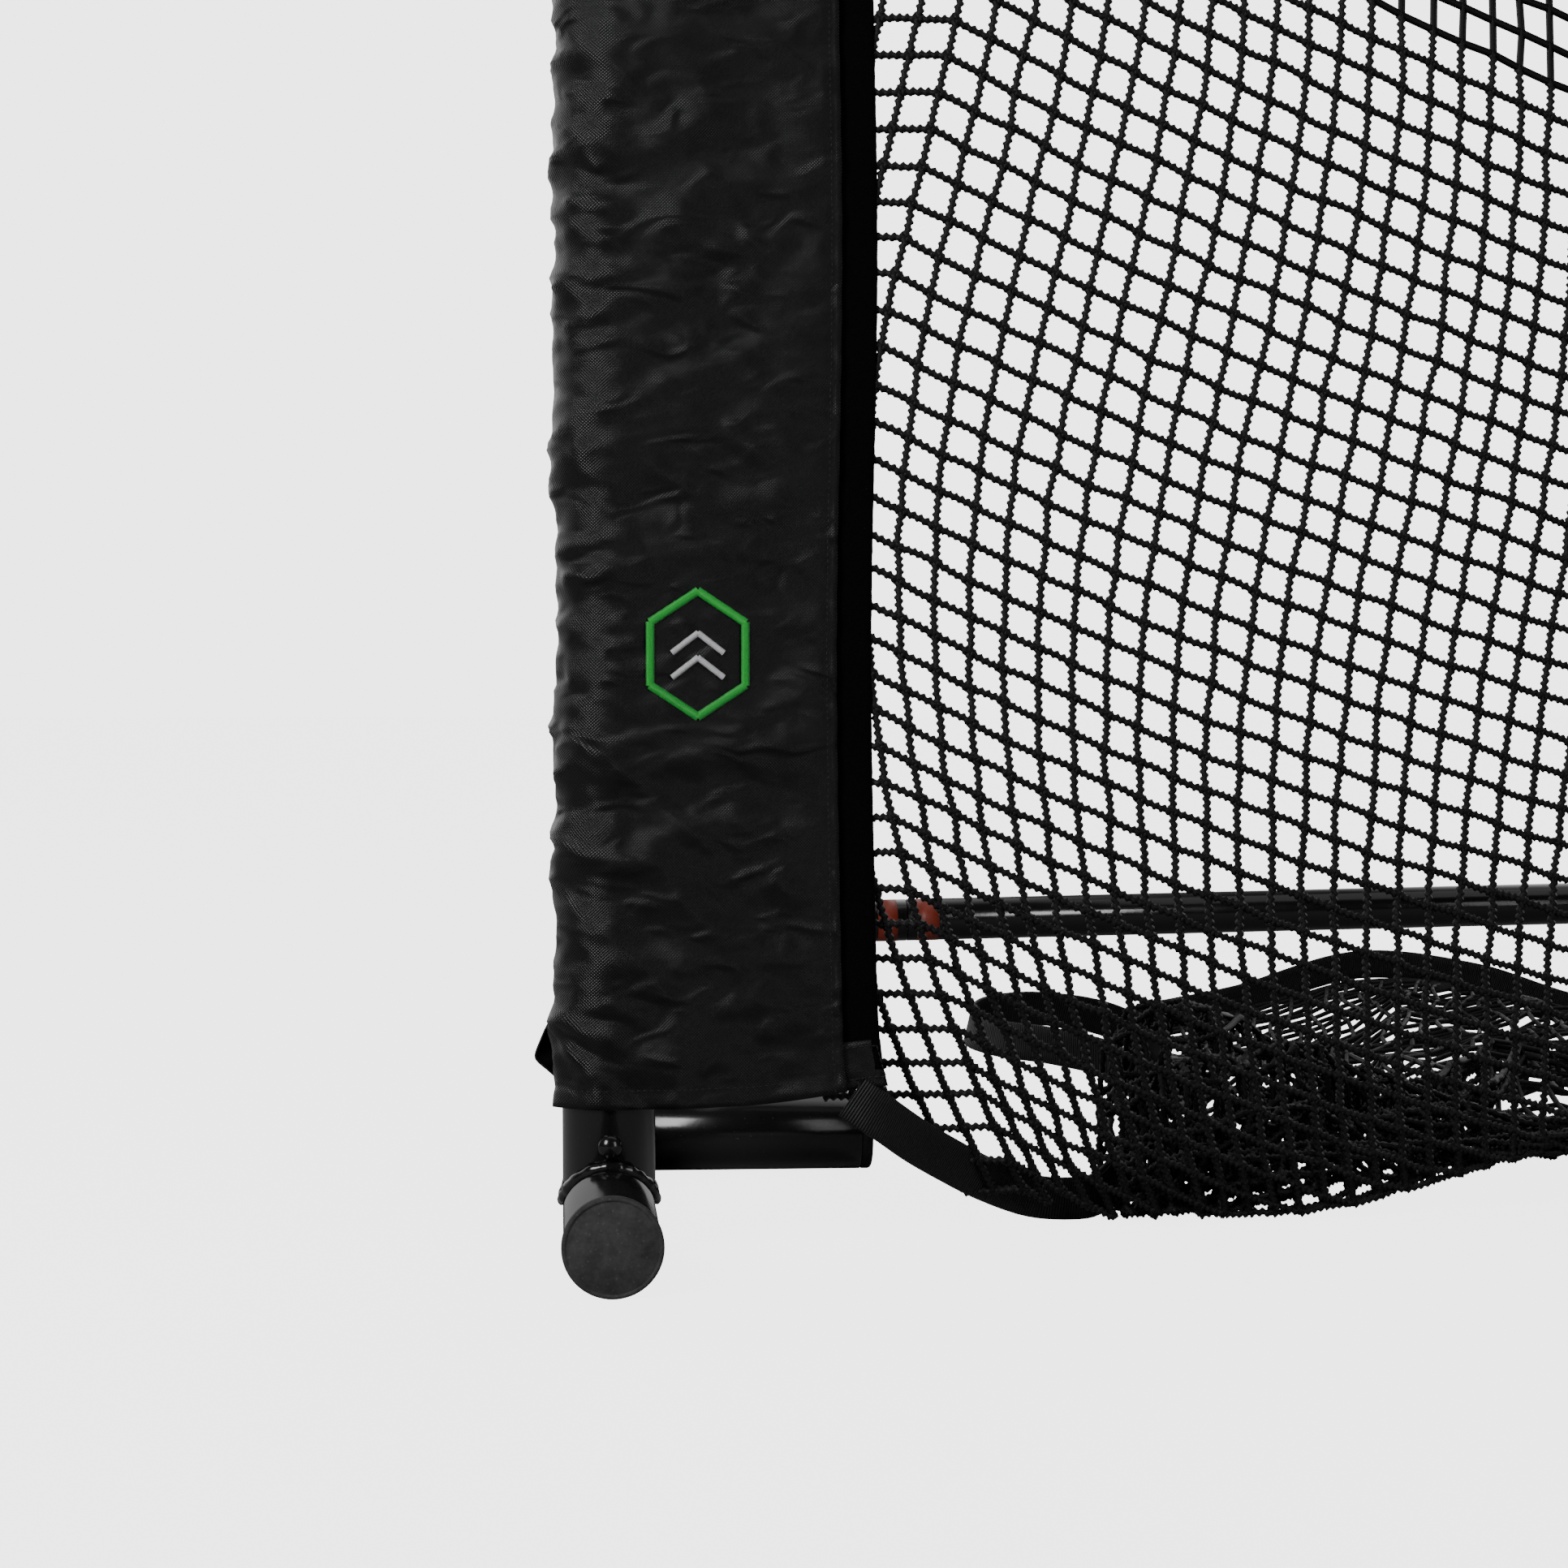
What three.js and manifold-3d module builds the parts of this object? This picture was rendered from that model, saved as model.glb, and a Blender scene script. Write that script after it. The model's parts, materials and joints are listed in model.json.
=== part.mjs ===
// A free-standing ball-return practice net: a knock-down tube frame that stands on two floor rails,
// fabric sleeves round its mouth, and a knotless net that hangs in the mouth and trails on the floor behind it.
// Millimetres, +Z up, +X across the mouth, +Y from the mouth to the rear bar.

import * as THREE from "three";
import { mergeVertices } from "three/addons/utils/BufferGeometryUtils.js";
import Module from "manifold-3d";

const wasm = await Module();
wasm.setup();

// Driving dimensions.
const frameWidth = 3048;
const frameHeight = 2438;
const frameDepth = 1524;
const tubeDiameter = 38.1;
const tubeWall = 1.6;
const footReach = 88;
const footCapDiameter = 39.8;
const socketTop = 190;
const uprightJointHeight = 1150;
const topBendRadius = 150;
const rearBendRadius = 114;
const topJointInset = 330;
const rearJointInset = 296;
const railJointY = 1204;
const rearCrownDegrees = 1.1;
const crossFootY = 226;
const crossFootEnd = 131;
const sleeveBottom = 67;
const sleeveReach = 109;
const tapeWidth = 16;
const webbingWidth = 19;

// Fits and small sizes.
const gap = 0.3;
const sides = 16;
const capSides = 24;
const tubeR = tubeDiameter / 2;
const boreR = tubeR - tubeWall;
const spigotR = boreR - 0.45;
const spigotBoreR = spigotR - 1.6;
const spigotLength = 70;
const swageLength = 12;
const capR = footCapDiameter / 2;
const axisZ = capR * Math.cos(Math.PI / capSides);
const halfSpan = frameWidth / 2 - tubeR;
const topZ = frameHeight - tubeR;
const buttonInset = 35;
const socketButtonZ = 48.8;
const buttonR = 4.8;
const buttonHoleR = 5.3;
const buttonProud = 4.5;
const beadR = 2;
const crown = THREE.MathUtils.degToRad(rearCrownDegrees);

const paint = new THREE.MeshStandardMaterial({ color: 0x0b0b0c, roughness: 0.22, metalness: 0.35 });
const rubber = new THREE.MeshStandardMaterial({ color: 0x2c2c2e, roughness: 0.85, metalness: 0 });
const steel = new THREE.MeshStandardMaterial({ color: 0x9a9c9e, roughness: 0.35, metalness: 1 });
const cloth = new THREE.MeshStandardMaterial({ color: 0x121214, roughness: 0.7, metalness: 0 });
const pile = new THREE.MeshStandardMaterial({ color: 0x070707, roughness: 1, metalness: 0 });
const twine = new THREE.MeshStandardMaterial({ color: 0x0a0a0b, roughness: 0.8, metalness: 0 });

// The frame stands round the middle of its own floor area.
const object = new THREE.Group();
const rearFace = frameDepth + tubeR * Math.cos(Math.PI / sides);
object.position.y = (footReach - rearFace) / 2;

const X = new THREE.Vector3(1, 0, 0);
const Y = new THREE.Vector3(0, 1, 0);
const Z = new THREE.Vector3(0, 0, 1);

function add(name, geometry, material, position = new THREE.Vector3(), direction = Y) {
  const mesh = new THREE.Mesh(geometry, material);
  mesh.name = name;
  mesh.position.copy(position);
  mesh.quaternion.setFromUnitVectors(Y, direction);
  object.add(mesh);
}

// A point in the left half's own measure: inset is the distance inward from that side's upright axis.
function at(side, inset, y, z) {
  return new THREE.Vector3(side * (halfSpan - inset), y, z);
}

// A round piece turned about its own Y axis, with a flat towards each main direction.
function turned(outline, count = sides) {
  const points = outline.map(([r, h]) => new THREE.Vector2(r, h));
  return new THREE.LatheGeometry(points, count, Math.PI / count);
}

// A straight tube from 0 to length, with a reduced end beyond either limit where it plugs into the next tube.
function straightTube(length, { startSpigot = 0, endSpigot = 0 } = {}) {
  const outline = [];
  if (startSpigot) {
    outline.push([spigotBoreR, -startSpigot], [spigotR - 1, -startSpigot], [spigotR, -startSpigot + 2]);
    outline.push([spigotR, 0], [tubeR, 0]);
  } else {
    outline.push([boreR, 0], [tubeR, 0]);
  }
  outline.push([tubeR, length]);
  if (endSpigot) {
    outline.push([spigotR, length], [spigotR, length + endSpigot - 2], [spigotR - 1, length + endSpigot]);
    outline.push([spigotBoreR, length + endSpigot], [spigotBoreR, length - swageLength]);
    outline.push([boreR, length - 2 * swageLength]);
  } else {
    outline.push([boreR, length]);
  }
  if (startSpigot) {
    outline.push([boreR, 2 * swageLength], [spigotBoreR, swageLength]);
  }
  outline.push(outline[0]);
  return turned(outline);
}

// A curve that visits chosen stations, so that bends are finely cut and straight runs are not.
class Stations extends THREE.Curve {
  constructor(points, tangents) {
    super();
    this.points = points;
    this.tangents = tangents;
  }

  getPoint(t, target = new THREE.Vector3()) {
    return target.copy(this.points[Math.round(t * (this.points.length - 1))]);
  }

  getPointAt(u, target) {
    return this.getPoint(u, target);
  }

  getTangentAt(u, target = new THREE.Vector3()) {
    return target.copy(this.tangents[Math.round(u * (this.points.length - 1))]);
  }
}

// Stations for a run that leaves start towards the corner, bends there and ends at finish.
function bend(start, corner, finish, radius, cuts) {
  const into = corner.clone().sub(start).normalize();
  const out = finish.clone().sub(corner).normalize();
  const turn = into.angleTo(out);
  const setback = radius * Math.tan(turn / 2);
  const first = corner.clone().addScaledVector(into, -setback);
  const inward = out.clone().addScaledVector(into, -into.dot(out)).normalize();
  const points = [start.clone()];
  const tangents = [into.clone()];
  for (let i = 0; i <= cuts; i += 1) {
    const angle = (turn * i) / cuts;
    const point = first.clone().addScaledVector(into, radius * Math.sin(angle));
    points.push(point.addScaledVector(inward, radius * (1 - Math.cos(angle))));
    tangents.push(into.clone().multiplyScalar(Math.cos(angle)).addScaledVector(inward, Math.sin(angle)));
  }
  points.push(finish.clone());
  tangents.push(out.clone());
  return new Stations(points, tangents);
}

function ring(outer, inner, count) {
  const shape = new THREE.Shape();
  const hole = new THREE.Path();
  for (let i = 0; i < count; i += 1) {
    const angle = ((i + 0.5) / count) * 2 * Math.PI;
    shape[i ? "lineTo" : "moveTo"](outer * Math.cos(angle), outer * Math.sin(angle));
    hole[i ? "lineTo" : "moveTo"](inner * Math.cos(angle), inner * Math.sin(angle));
  }
  shape.holes.push(hole);
  return shape;
}

function bentTube(path) {
  const steps = path.points.length - 1;
  return new THREE.ExtrudeGeometry(ring(tubeR, boreR, sides), { extrudePath: path, steps });
}

// Boolean work on closed meshes.
function solid(geometry, matrix = new THREE.Matrix4()) {
  const bare = geometry.clone().applyMatrix4(matrix);
  bare.deleteAttribute("normal");
  bare.deleteAttribute("uv");
  const merged = mergeVertices(bare, 1e-4);
  return new wasm.Manifold(new wasm.Mesh({
    numProp: 3,
    vertProperties: new Float32Array(merged.attributes.position.array),
    triVerts: new Uint32Array(merged.index.array),
  }));
}

function geometryOf(manifold) {
  const mesh = manifold.getMesh();
  const geometry = new THREE.BufferGeometry();
  geometry.setAttribute("position", new THREE.BufferAttribute(new Float32Array(mesh.vertProperties), 3));
  geometry.setIndex(new THREE.BufferAttribute(new Uint32Array(mesh.triVerts), 1));
  geometry.computeVertexNormals();
  return geometry;
}

// A round cutter of the given radius, centred on a point and lying along a direction.
function rod(centre, direction, radius, length, count = sides) {
  const turn = new THREE.Quaternion().setFromUnitVectors(Y, direction);
  const place = new THREE.Matrix4().compose(centre, turn, new THREE.Vector3(1, 1, 1));
  const half = length / 2;
  return solid(turned([[0, -half], [radius, -half], [radius, half], [0, half]], count), place);
}

// Each tube joint has a snap button: where it is, which way it points, and which way the plugged tube runs.
// Those under a sleeve point into its flap, where the two layers of cloth stand apart.
const joints = [];

function buttonHole(joint) {
  return rod(joint.centre.clone().addScaledVector(joint.out, tubeR), joint.out, buttonHoleR, tubeR * 1.5, 12);
}

function drilled(geometry, holes, position = new THREE.Vector3(), direction = Y) {
  const turn = new THREE.Quaternion().setFromUnitVectors(Y, direction);
  const place = new THREE.Matrix4().compose(position, turn, new THREE.Vector3(1, 1, 1));
  let body = solid(geometry, place);
  for (const joint of holes) body = body.subtract(buttonHole(joint));
  return geometryOf(body);
}

// The frame's two sides.
for (const [side, hand] of [[-1, "left"], [1, "right"]]) {
  const inward = X.clone().multiplyScalar(-side);
  const crownOut = new THREE.Vector3(-side * Math.cos(crown), 0, Math.sin(crown));
  const rearJoint = at(side, rearJointInset, frameDepth, axisZ + rearJointInset * Math.tan(crown));
  const rearCorner = at(side, 0, frameDepth, axisZ);
  const mouthCorner = at(side, 0, 0, topZ);
  const joint = {
    socket: { name: `socket_${hand}`, centre: at(side, 0, 0, socketButtonZ), out: Y.clone().negate(), along: Z },
    upright: { name: `upright_${hand}`, centre: at(side, 0, 0, uprightJointHeight + buttonInset), out: inward,
      along: Z.clone().negate() },
    topCorner: { name: `top_corner_${hand}`, centre: at(side, topJointInset - buttonInset, 0, topZ),
      out: Z.clone().negate(), along: inward },
    rail: { name: `rail_${hand}`, centre: at(side, 0, railJointY + buttonInset, axisZ), out: Z,
      along: Y.clone().negate() },
    rearCorner: { name: `rear_corner_${hand}`, centre: rearJoint.clone().addScaledVector(crownOut, -buttonInset),
      out: Z.clone().addScaledVector(crownOut, -crownOut.z).normalize(), along: crownOut },
  };
  joints.push(...Object.values(joint));

  // Base rail, with the front foot at its near end.
  const railStart = at(side, 0, -footReach + 4.3, axisZ);
  const railLength = railJointY - railStart.y;
  const rail = drilled(straightTube(railLength, { endSpigot: spigotLength }), [joint.rail], railStart, Y);
  add(`base_rail_${hand}`, rail, paint);

  // Rubber cap: a plug in the tube's bore and a bevelled face a little wider than the tube.
  const capOutline = [[0, 0], [capR - 1.3, 0], [capR, 1.3], [capR, 4], [boreR - 0.6, 4], [boreR - 1, 24], [0, 24]];
  add(`front_foot_cap_${hand}`, turned(capOutline, capSides), rubber, at(side, 0, -footReach, axisZ), Y);

  // Upright socket, coped over the rail that it is welded to.
  const railCut = rod(at(side, 0, 0, axisZ), Y, tubeR + gap, 4 * tubeDiameter);
  const socketTube = solid(straightTube(socketTop - axisZ), new THREE.Matrix4().compose(
    at(side, 0, 0, axisZ), new THREE.Quaternion().setFromUnitVectors(Y, Z), new THREE.Vector3(1, 1, 1)));
  const socket = socketTube.subtract(railCut).subtract(buttonHole(joint.socket));
  add(`upright_socket_${hand}`, geometryOf(socket), paint);

  // Weld bead along the saddle line where the socket meets the rail.
  const beadPoints = [];
  for (let i = 0; i < 24; i += 1) {
    const angle = (i / 24) * 2 * Math.PI;
    const reach = tubeR + beadR + gap;
    beadPoints.push(at(side, reach * Math.cos(angle), reach * Math.sin(angle),
      axisZ + Math.hypot(reach * Math.sin(angle), 4)));
  }
  const bead = new THREE.TubeGeometry(new THREE.CatmullRomCurve3(beadPoints, true), 28, beadR, 6, true);
  add(`socket_weld_${hand}`, bead, paint);

  // Cross foot, coped to the rail's inner side, and its end cap.
  const footAxis = at(side, 0, crossFootY, axisZ);
  const footTube = solid(straightTube(crossFootEnd - 5.3), new THREE.Matrix4().compose(
    footAxis, new THREE.Quaternion().setFromUnitVectors(Y, inward), new THREE.Vector3(1, 1, 1)));
  const footCut = rod(footAxis, Y, tubeR + gap, 4 * tubeDiameter);
  add(`cross_foot_${hand}`, geometryOf(footTube.subtract(footCut)), paint);
  const endOutline = [[0, 0], [boreR - 0.8, 0], [boreR - gap, 18.7], [tubeR, 18.7], [tubeR, 22.4], [tubeR - 1.6, 24],
    [0, 24]];
  add(`cross_foot_cap_${hand}`, turned(endOutline), rubber, at(side, crossFootEnd - 24, crossFootY, axisZ), inward);

  // Lower upright: one reduced end reaches down the socket, the other up into the bent tube.
  const lowerStart = at(side, 0, 0, socketTop + gap);
  const lowerLength = uprightJointHeight - gap - lowerStart.z;
  const lower = straightTube(lowerLength, {
    startSpigot: lowerStart.z - axisZ - tubeR - 1.7,
    endSpigot: spigotLength,
  });
  add(`lower_upright_${hand}`, drilled(lower, [joint.socket, joint.upright], lowerStart, Z), paint);

  // Upper upright with the mouth's rounded top corner.
  const upperPath = bend(at(side, 0, 0, uprightJointHeight), mouthCorner, at(side, topJointInset, 0, topZ),
    topBendRadius, 8);
  add(`upper_upright_${hand}`, drilled(bentTube(upperPath), [joint.upright, joint.topCorner]), paint);

  // Rear corner. Its rear leg rises a little, so that the rear bar carries a crown.
  const cornerPath = bend(at(side, 0, railJointY + gap, axisZ), rearCorner, rearJoint, rearBendRadius, 7);
  add(`rear_corner_${hand}`, drilled(bentTube(cornerPath), [joint.rail, joint.rearCorner]), paint);
}

// Top bar: two halves. The left one plugs into the right one at the middle.
const topMiddle = { name: "top_middle", centre: new THREE.Vector3(buttonInset, 0, topZ),
  out: Z.clone().negate(), along: X.clone().negate() };
const topHalf = halfSpan - topJointInset - 2 * gap;
const [leftTop, rightTop] = [joints[2], joints[7]];
add("top_bar_left", drilled(straightTube(topHalf, { startSpigot: spigotLength, endSpigot: spigotLength }),
  [leftTop, topMiddle], at(-1, topJointInset + gap, 0, topZ), X), paint);
add("top_bar_right", drilled(straightTube(topHalf + gap, { startSpigot: spigotLength }),
  [rightTop, topMiddle], at(1, topJointInset + gap, 0, topZ), X.clone().negate()), paint);

// Rear bar: two straight halves that meet at the crown, where the left one's plug is set in line with the right one.
const rise = (inset) => axisZ + inset * Math.tan(crown);
const crownTop = new THREE.Vector3(0, frameDepth, rise(halfSpan));
const leftward = new THREE.Vector3(Math.cos(crown), 0, Math.sin(crown));
const rightward = new THREE.Vector3(-Math.cos(crown), 0, Math.sin(crown));
const rearHalf = (halfSpan - rearJointInset) / Math.cos(crown) - 3 * gap;
const rearMiddle = { name: "rear_middle", out: new THREE.Vector3(Math.sin(crown), 0, Math.cos(crown)),
  centre: crownTop.clone().addScaledVector(rightward, -buttonInset), along: rightward };
const [leftRear, rightRear] = [joints[4], joints[9]];
const leftStart = at(-1, rearJointInset, frameDepth, rise(rearJointInset)).addScaledVector(leftward, gap);
const rightStart = at(1, rearJointInset, frameDepth, rise(rearJointInset)).addScaledVector(rightward, gap);
const plugTurn = new THREE.Quaternion().setFromUnitVectors(Y, rightward.clone().negate());
const plugStart = crownTop.clone().addScaledVector(rightward, swageLength);
const plug = solid(turned([[spigotBoreR, 0], [spigotR, 0], [spigotR, swageLength + spigotLength - 2],
  [spigotR - 1, swageLength + spigotLength], [spigotBoreR, swageLength + spigotLength], [spigotBoreR, 0]]),
new THREE.Matrix4().compose(plugStart, plugTurn, new THREE.Vector3(1, 1, 1)));
const swage = solid(turned([[spigotR - 0.8, 0], [boreR + 0.4, 0], [boreR + 0.4, swageLength], [spigotR - 0.8, swageLength],
  [spigotR - 0.8, 0]]), new THREE.Matrix4().compose(crownTop.clone().addScaledVector(leftward, -swageLength - 3 * gap),
  new THREE.Quaternion().setFromUnitVectors(Y, leftward), new THREE.Vector3(1, 1, 1)));
const leftBar = solid(straightTube(rearHalf, { startSpigot: spigotLength }), new THREE.Matrix4().compose(
  leftStart, new THREE.Quaternion().setFromUnitVectors(Y, leftward), new THREE.Vector3(1, 1, 1)));
add("rear_bar_left", geometryOf(leftBar.add(swage).add(plug).subtract(buttonHole(rearMiddle))
  .subtract(buttonHole(leftRear))), paint);
add("rear_bar_right", drilled(straightTube(rearHalf, { startSpigot: spigotLength }), [rightRear, rearMiddle],
  rightStart, rightward), paint);
joints.push(topMiddle, rearMiddle);

// Snap buttons: a domed pin with a flange inside the reduced end.
const buttonFoot = spigotBoreR - 2.4;
const domeR = 6.2;
const buttonOutline = [[0, buttonFoot - 1], [6.3, buttonFoot - 1], [6.3, buttonFoot], [buttonR, buttonFoot]];
const domeBase = tubeR + buttonProud - (domeR - Math.sqrt(domeR * domeR - buttonR * buttonR));
for (let i = 0; i <= 3; i += 1) {
  const angle = Math.acos(buttonR / domeR) + (i / 3) * (Math.PI / 2 - Math.acos(buttonR / domeR));
  const lift = domeR * Math.sin(angle) - Math.sqrt(domeR * domeR - buttonR * buttonR);
  buttonOutline.push([i === 3 ? 0 : domeR * Math.cos(angle), domeBase + lift]);
}

// Leaf springs: a hairpin of strip, one leg behind the button and the other along the opposite wall.
const stripThickness = 0.7;
const legReach = 30;
const outerLeg = buttonFoot - 1 - gap;
const innerBend = outerLeg - stripThickness;
const hairpin = new THREE.Shape();
hairpin.moveTo(-6, outerLeg);
hairpin.lineTo(legReach, outerLeg);
hairpin.absarc(legReach, 0, outerLeg, Math.PI / 2, -Math.PI / 2, true);
hairpin.lineTo(-6, -outerLeg);
hairpin.lineTo(-6, -innerBend);
hairpin.lineTo(legReach, -innerBend);
hairpin.absarc(legReach, 0, innerBend, -Math.PI / 2, Math.PI / 2, false);
hairpin.lineTo(-6, innerBend);
hairpin.closePath();

for (const { name, centre, out, along } of joints) {
  add(`snap_button_${name}`, turned(buttonOutline, 12), steel, centre, out);
  const leaf = new THREE.ExtrudeGeometry(hairpin, { depth: 9, bevelEnabled: false, curveSegments: 5 });
  leaf.translate(0, 0, -4.5);
  const across = new THREE.Vector3().crossVectors(along, out);
  leaf.applyMatrix4(new THREE.Matrix4().makeBasis(along, out, across));
  add(`leaf_spring_${name}`, leaf, steel, centre);
}

// Sleeves: oxford cloth folded round the tube, closing to a flat edge towards the opening.
const sleeveSkin = 1.6;
const sleeveHoleR = tubeR + 0.6;
const sleeveR = sleeveHoleR + sleeveSkin;

function teardrop(radius, reach, halfEdge) {
  const lean = Math.asin((radius - halfEdge) / reach);
  const points = [new THREE.Vector2(reach, halfEdge)];
  const first = Math.PI / 2 - lean;
  for (let i = 0; i <= 14; i += 1) {
    const angle = first + (i / 14) * (2 * Math.PI - 2 * first);
    points.push(new THREE.Vector2(radius * Math.cos(angle), radius * Math.sin(angle)));
  }
  points.push(new THREE.Vector2(reach, -halfEdge));
  return points;
}

const flapReach = sleeveReach - tapeWidth - gap;
const sleeveSection = new THREE.Shape(teardrop(sleeveR, flapReach, 2.4));
sleeveSection.holes.push(new THREE.Path(teardrop(sleeveHoleR, flapReach - 3, 0.7)));

function sleeve(length, inward, along) {
  const geometry = new THREE.ExtrudeGeometry(sleeveSection, { depth: length, bevelEnabled: false });
  const third = new THREE.Vector3().crossVectors(along, inward);
  return geometry.applyMatrix4(new THREE.Matrix4().makeBasis(inward, third, along));
}

const uprightSleeveTop = topZ - topBendRadius - 20;
const topSleeveStart = topBendRadius + 20;
for (const [side, hand] of [[-1, "left"], [1, "right"]]) {
  const inward = X.clone().multiplyScalar(-side);
  const length = uprightSleeveTop - sleeveBottom;
  add(`sleeve_${hand}`, sleeve(length, inward, Z), cloth, at(side, 0, 0, sleeveBottom));
  const tape = new THREE.BoxGeometry(tapeWidth, 2.4, length);
  add(`hook_tape_${hand}`, tape, pile, at(side, sleeveReach - tapeWidth / 2, 0, sleeveBottom + length / 2));
}
const topSleeveLength = 2 * (halfSpan - topSleeveStart);
add("sleeve_top", sleeve(topSleeveLength, Z.clone().negate(), X), cloth, at(-1, topSleeveStart, 0, topZ));
add("hook_tape_top", new THREE.BoxGeometry(topSleeveLength, 2.4, tapeWidth), pile,
  new THREE.Vector3(0, 0, topZ - sleeveReach + tapeWidth / 2));

// The net, measured in meshes: column counts inward from the sleeve's edge and row counts up from its lower corner.
const columns = 94;
const topRow = 151;
const rowPitch = 14.9;
const netEdge = sleeveReach + 3;
const netFoot = 62;
const belly = 300;
const sag = 226;
const netThickness = 2.4;
const smooth = (low, high, value) => THREE.MathUtils.smoothstep(value, low, high);

function foldHeight(column) {
  return 6 + 20 * smooth(12, 22, column) + 6 * Math.sin(column * 0.21) * smooth(22, 40, column);
}

function slack(share) {
  return 1 - (1 - share) ** 3;
}

function foldRow(column) {
  return (foldHeight(column) - netFoot + sag * slack(column / columns)) / rowPitch;
}

// A point of the hanging net.
function hanging(column, row) {
  const share = column / columns;
  const depthShare = 1 - (Math.max(row, 0) / topRow) ** 2;
  const height = netFoot + rowPitch * row - sag * depthShare * slack(share);
  const middleRow = Math.max(15.5 - 0.22 * column, 11);
  const fromMiddle = row - middleRow;
  const drift = fromMiddle < 0
    ? 0.22 * fromMiddle ** 2
    : 0.26 * fromMiddle ** 2 * Math.exp(-((fromMiddle / 24) ** 2));
  const inset = netEdge + ((halfSpan - netEdge) / columns) * column
    + drift * (1 - share) ** 2 * Math.min(1, column / 4);
  const bulge = 0.35 * (1 - (1 - share) ** 2) + 0.65 * Math.sin((Math.PI / 2) * share) ** 2;
  const lean = (28 + 34 * Math.exp(-column / 9)) * smooth(0, 1, 1 - height / 200) * Math.min(1, column / 3);
  return { inset, y: belly * depthShare * bulge + lean, z: height };
}

// A point of the skirt: share runs from the fold at the net's foot, 0, to the hem, 1, and part runs inward from
// the side hem, 0, to the middle, 1.
const hemY = 790;
const hemInset = 326;
const skirtColumn = 5;

function lying(part, share) {
  const column = skirtColumn + (columns - skirtColumn) * part;
  const near = hanging(column, foldRow(column));
  const inset = THREE.MathUtils.lerp(near.inset, hemInset + (halfSpan - hemInset) * part, share);
  const y = THREE.MathUtils.lerp(near.y, hemY, share);
  const heap = 34 * Math.exp(-(((y - 230) / 130) ** 2)) * Math.exp(-(((inset - 330) / 170) ** 2));
  const wave = 14 * smooth(0.35, 1, share) * (1 + Math.cos(((inset - 490) * 2 * Math.PI) / 340));
  return { inset, y, z: foldHeight(column) * (1 - share) + 8 * share + heap + wave };
}

// A closed sheet of the net's thickness, half of it to each side of a surface. Both faces are split into triangles
// the same way, so that they stay parallel.
function sheet(across, along, place) {
  const points = [];
  for (const face of [-0.5, 0.5]) {
    for (let j = 0; j <= along; j += 1) {
      for (let i = 0; i <= across; i += 1) {
        const [u, v] = [i / across, j / along];
        const right = place(Math.min(u + 0.01, 1), v).sub(place(Math.max(u - 0.01, 0), v));
        const up = place(u, Math.min(v + 0.01, 1)).sub(place(u, Math.max(v - 0.01, 0)));
        points.push(...place(u, v).addScaledVector(right.cross(up).normalize(), face * netThickness));
      }
    }
  }
  const index = [];
  const quad = (a, b, c, d) => index.push(a, b, c, a, c, d);
  const row = across + 1;
  const layer = row * (along + 1);
  for (let j = 0; j < along; j += 1) {
    for (let i = 0; i < across; i += 1) {
      const a = j * row + i;
      quad(a, a + row, a + row + 1, a + 1);
      quad(layer + a, layer + a + 1, layer + a + row + 1, layer + a + row);
    }
    const [left, right] = [j * row, j * row + across];
    quad(left + row, left, layer + left, layer + left + row);
    quad(right, right + row, layer + right + row, layer + right);
  }
  for (let i = 0; i < across; i += 1) {
    const far = along * row + i;
    quad(i, i + 1, layer + i + 1, layer + i);
    quad(far + 1, far, layer + far, layer + far + 1);
  }
  const geometry = new THREE.BufferGeometry();
  geometry.setAttribute("position", new THREE.Float32BufferAttribute(points, 3));
  geometry.setIndex(index);
  return geometry;
}

// Both halves as one run: across goes from the left half's start, 0, over the middle, 1, to the right half's, 2.
function mirrored(across, surface) {
  const point = surface(across <= 1 ? across : 2 - across);
  return at(across <= 1 ? -1 : 1, point.inset, point.y, point.z);
}

// The hanging net is cut in three, so that each piece bends only one way.
const cuts = [0.001, 0.66, 1.34, 1.999];
["net_left", "net_middle", "net_right"].forEach((name, third) => {
  const seam = third === 1 ? 0.004 : 0;
  const from = cuts[third] + seam;
  const to = cuts[third + 1] - seam;
  add(name, sheet(8, 10, (u, v) => mirrored(from + (to - from) * u, (part) => {
    const column = columns * part;
    const low = foldRow(column) + 1 + 4 * Math.max(0, 1 - column / 4);
    return hanging(column, low + (topRow - 1 - low) * v ** 1.6);
  })), twine);
});

add("net_skirt", sheet(26, 6, (u, v) => mirrored(2 * u, (part) => lying(part, 0.98 - v * 0.96))), twine);

// Webbing hem: a ribbon on edge that drops from under the sleeve, turns back on the floor and rounds the skirt.
const hemFront = [[110, -1, 54], [128, 18, 44], [144, 36, 33], [164, 53, 21], [186, 69, 11.5], [205, 75, 11],
  [214, 86, 11]];
const hemPoints = hemFront.map(([inset, y, z]) => at(-1, inset, y, z));
for (let i = 1; i <= 12; i += 1) {
  const point = lying(0, i / 12);
  hemPoints.push(at(-1, point.inset - 9, point.y, Math.max(point.z, 11)));
}
for (let i = 1; i <= 14; i += 1) {
  const point = lying(i / 14, 1);
  hemPoints.push(at(-1, point.inset, point.y + 9, Math.max(point.z, 11)));
}
const mirroredHem = hemPoints.slice(0, -1).reverse().map((point) => new THREE.Vector3(-point.x, point.y, point.z));
const hemCurve = new THREE.CatmullRomCurve3([...hemPoints, ...mirroredHem]);

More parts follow.
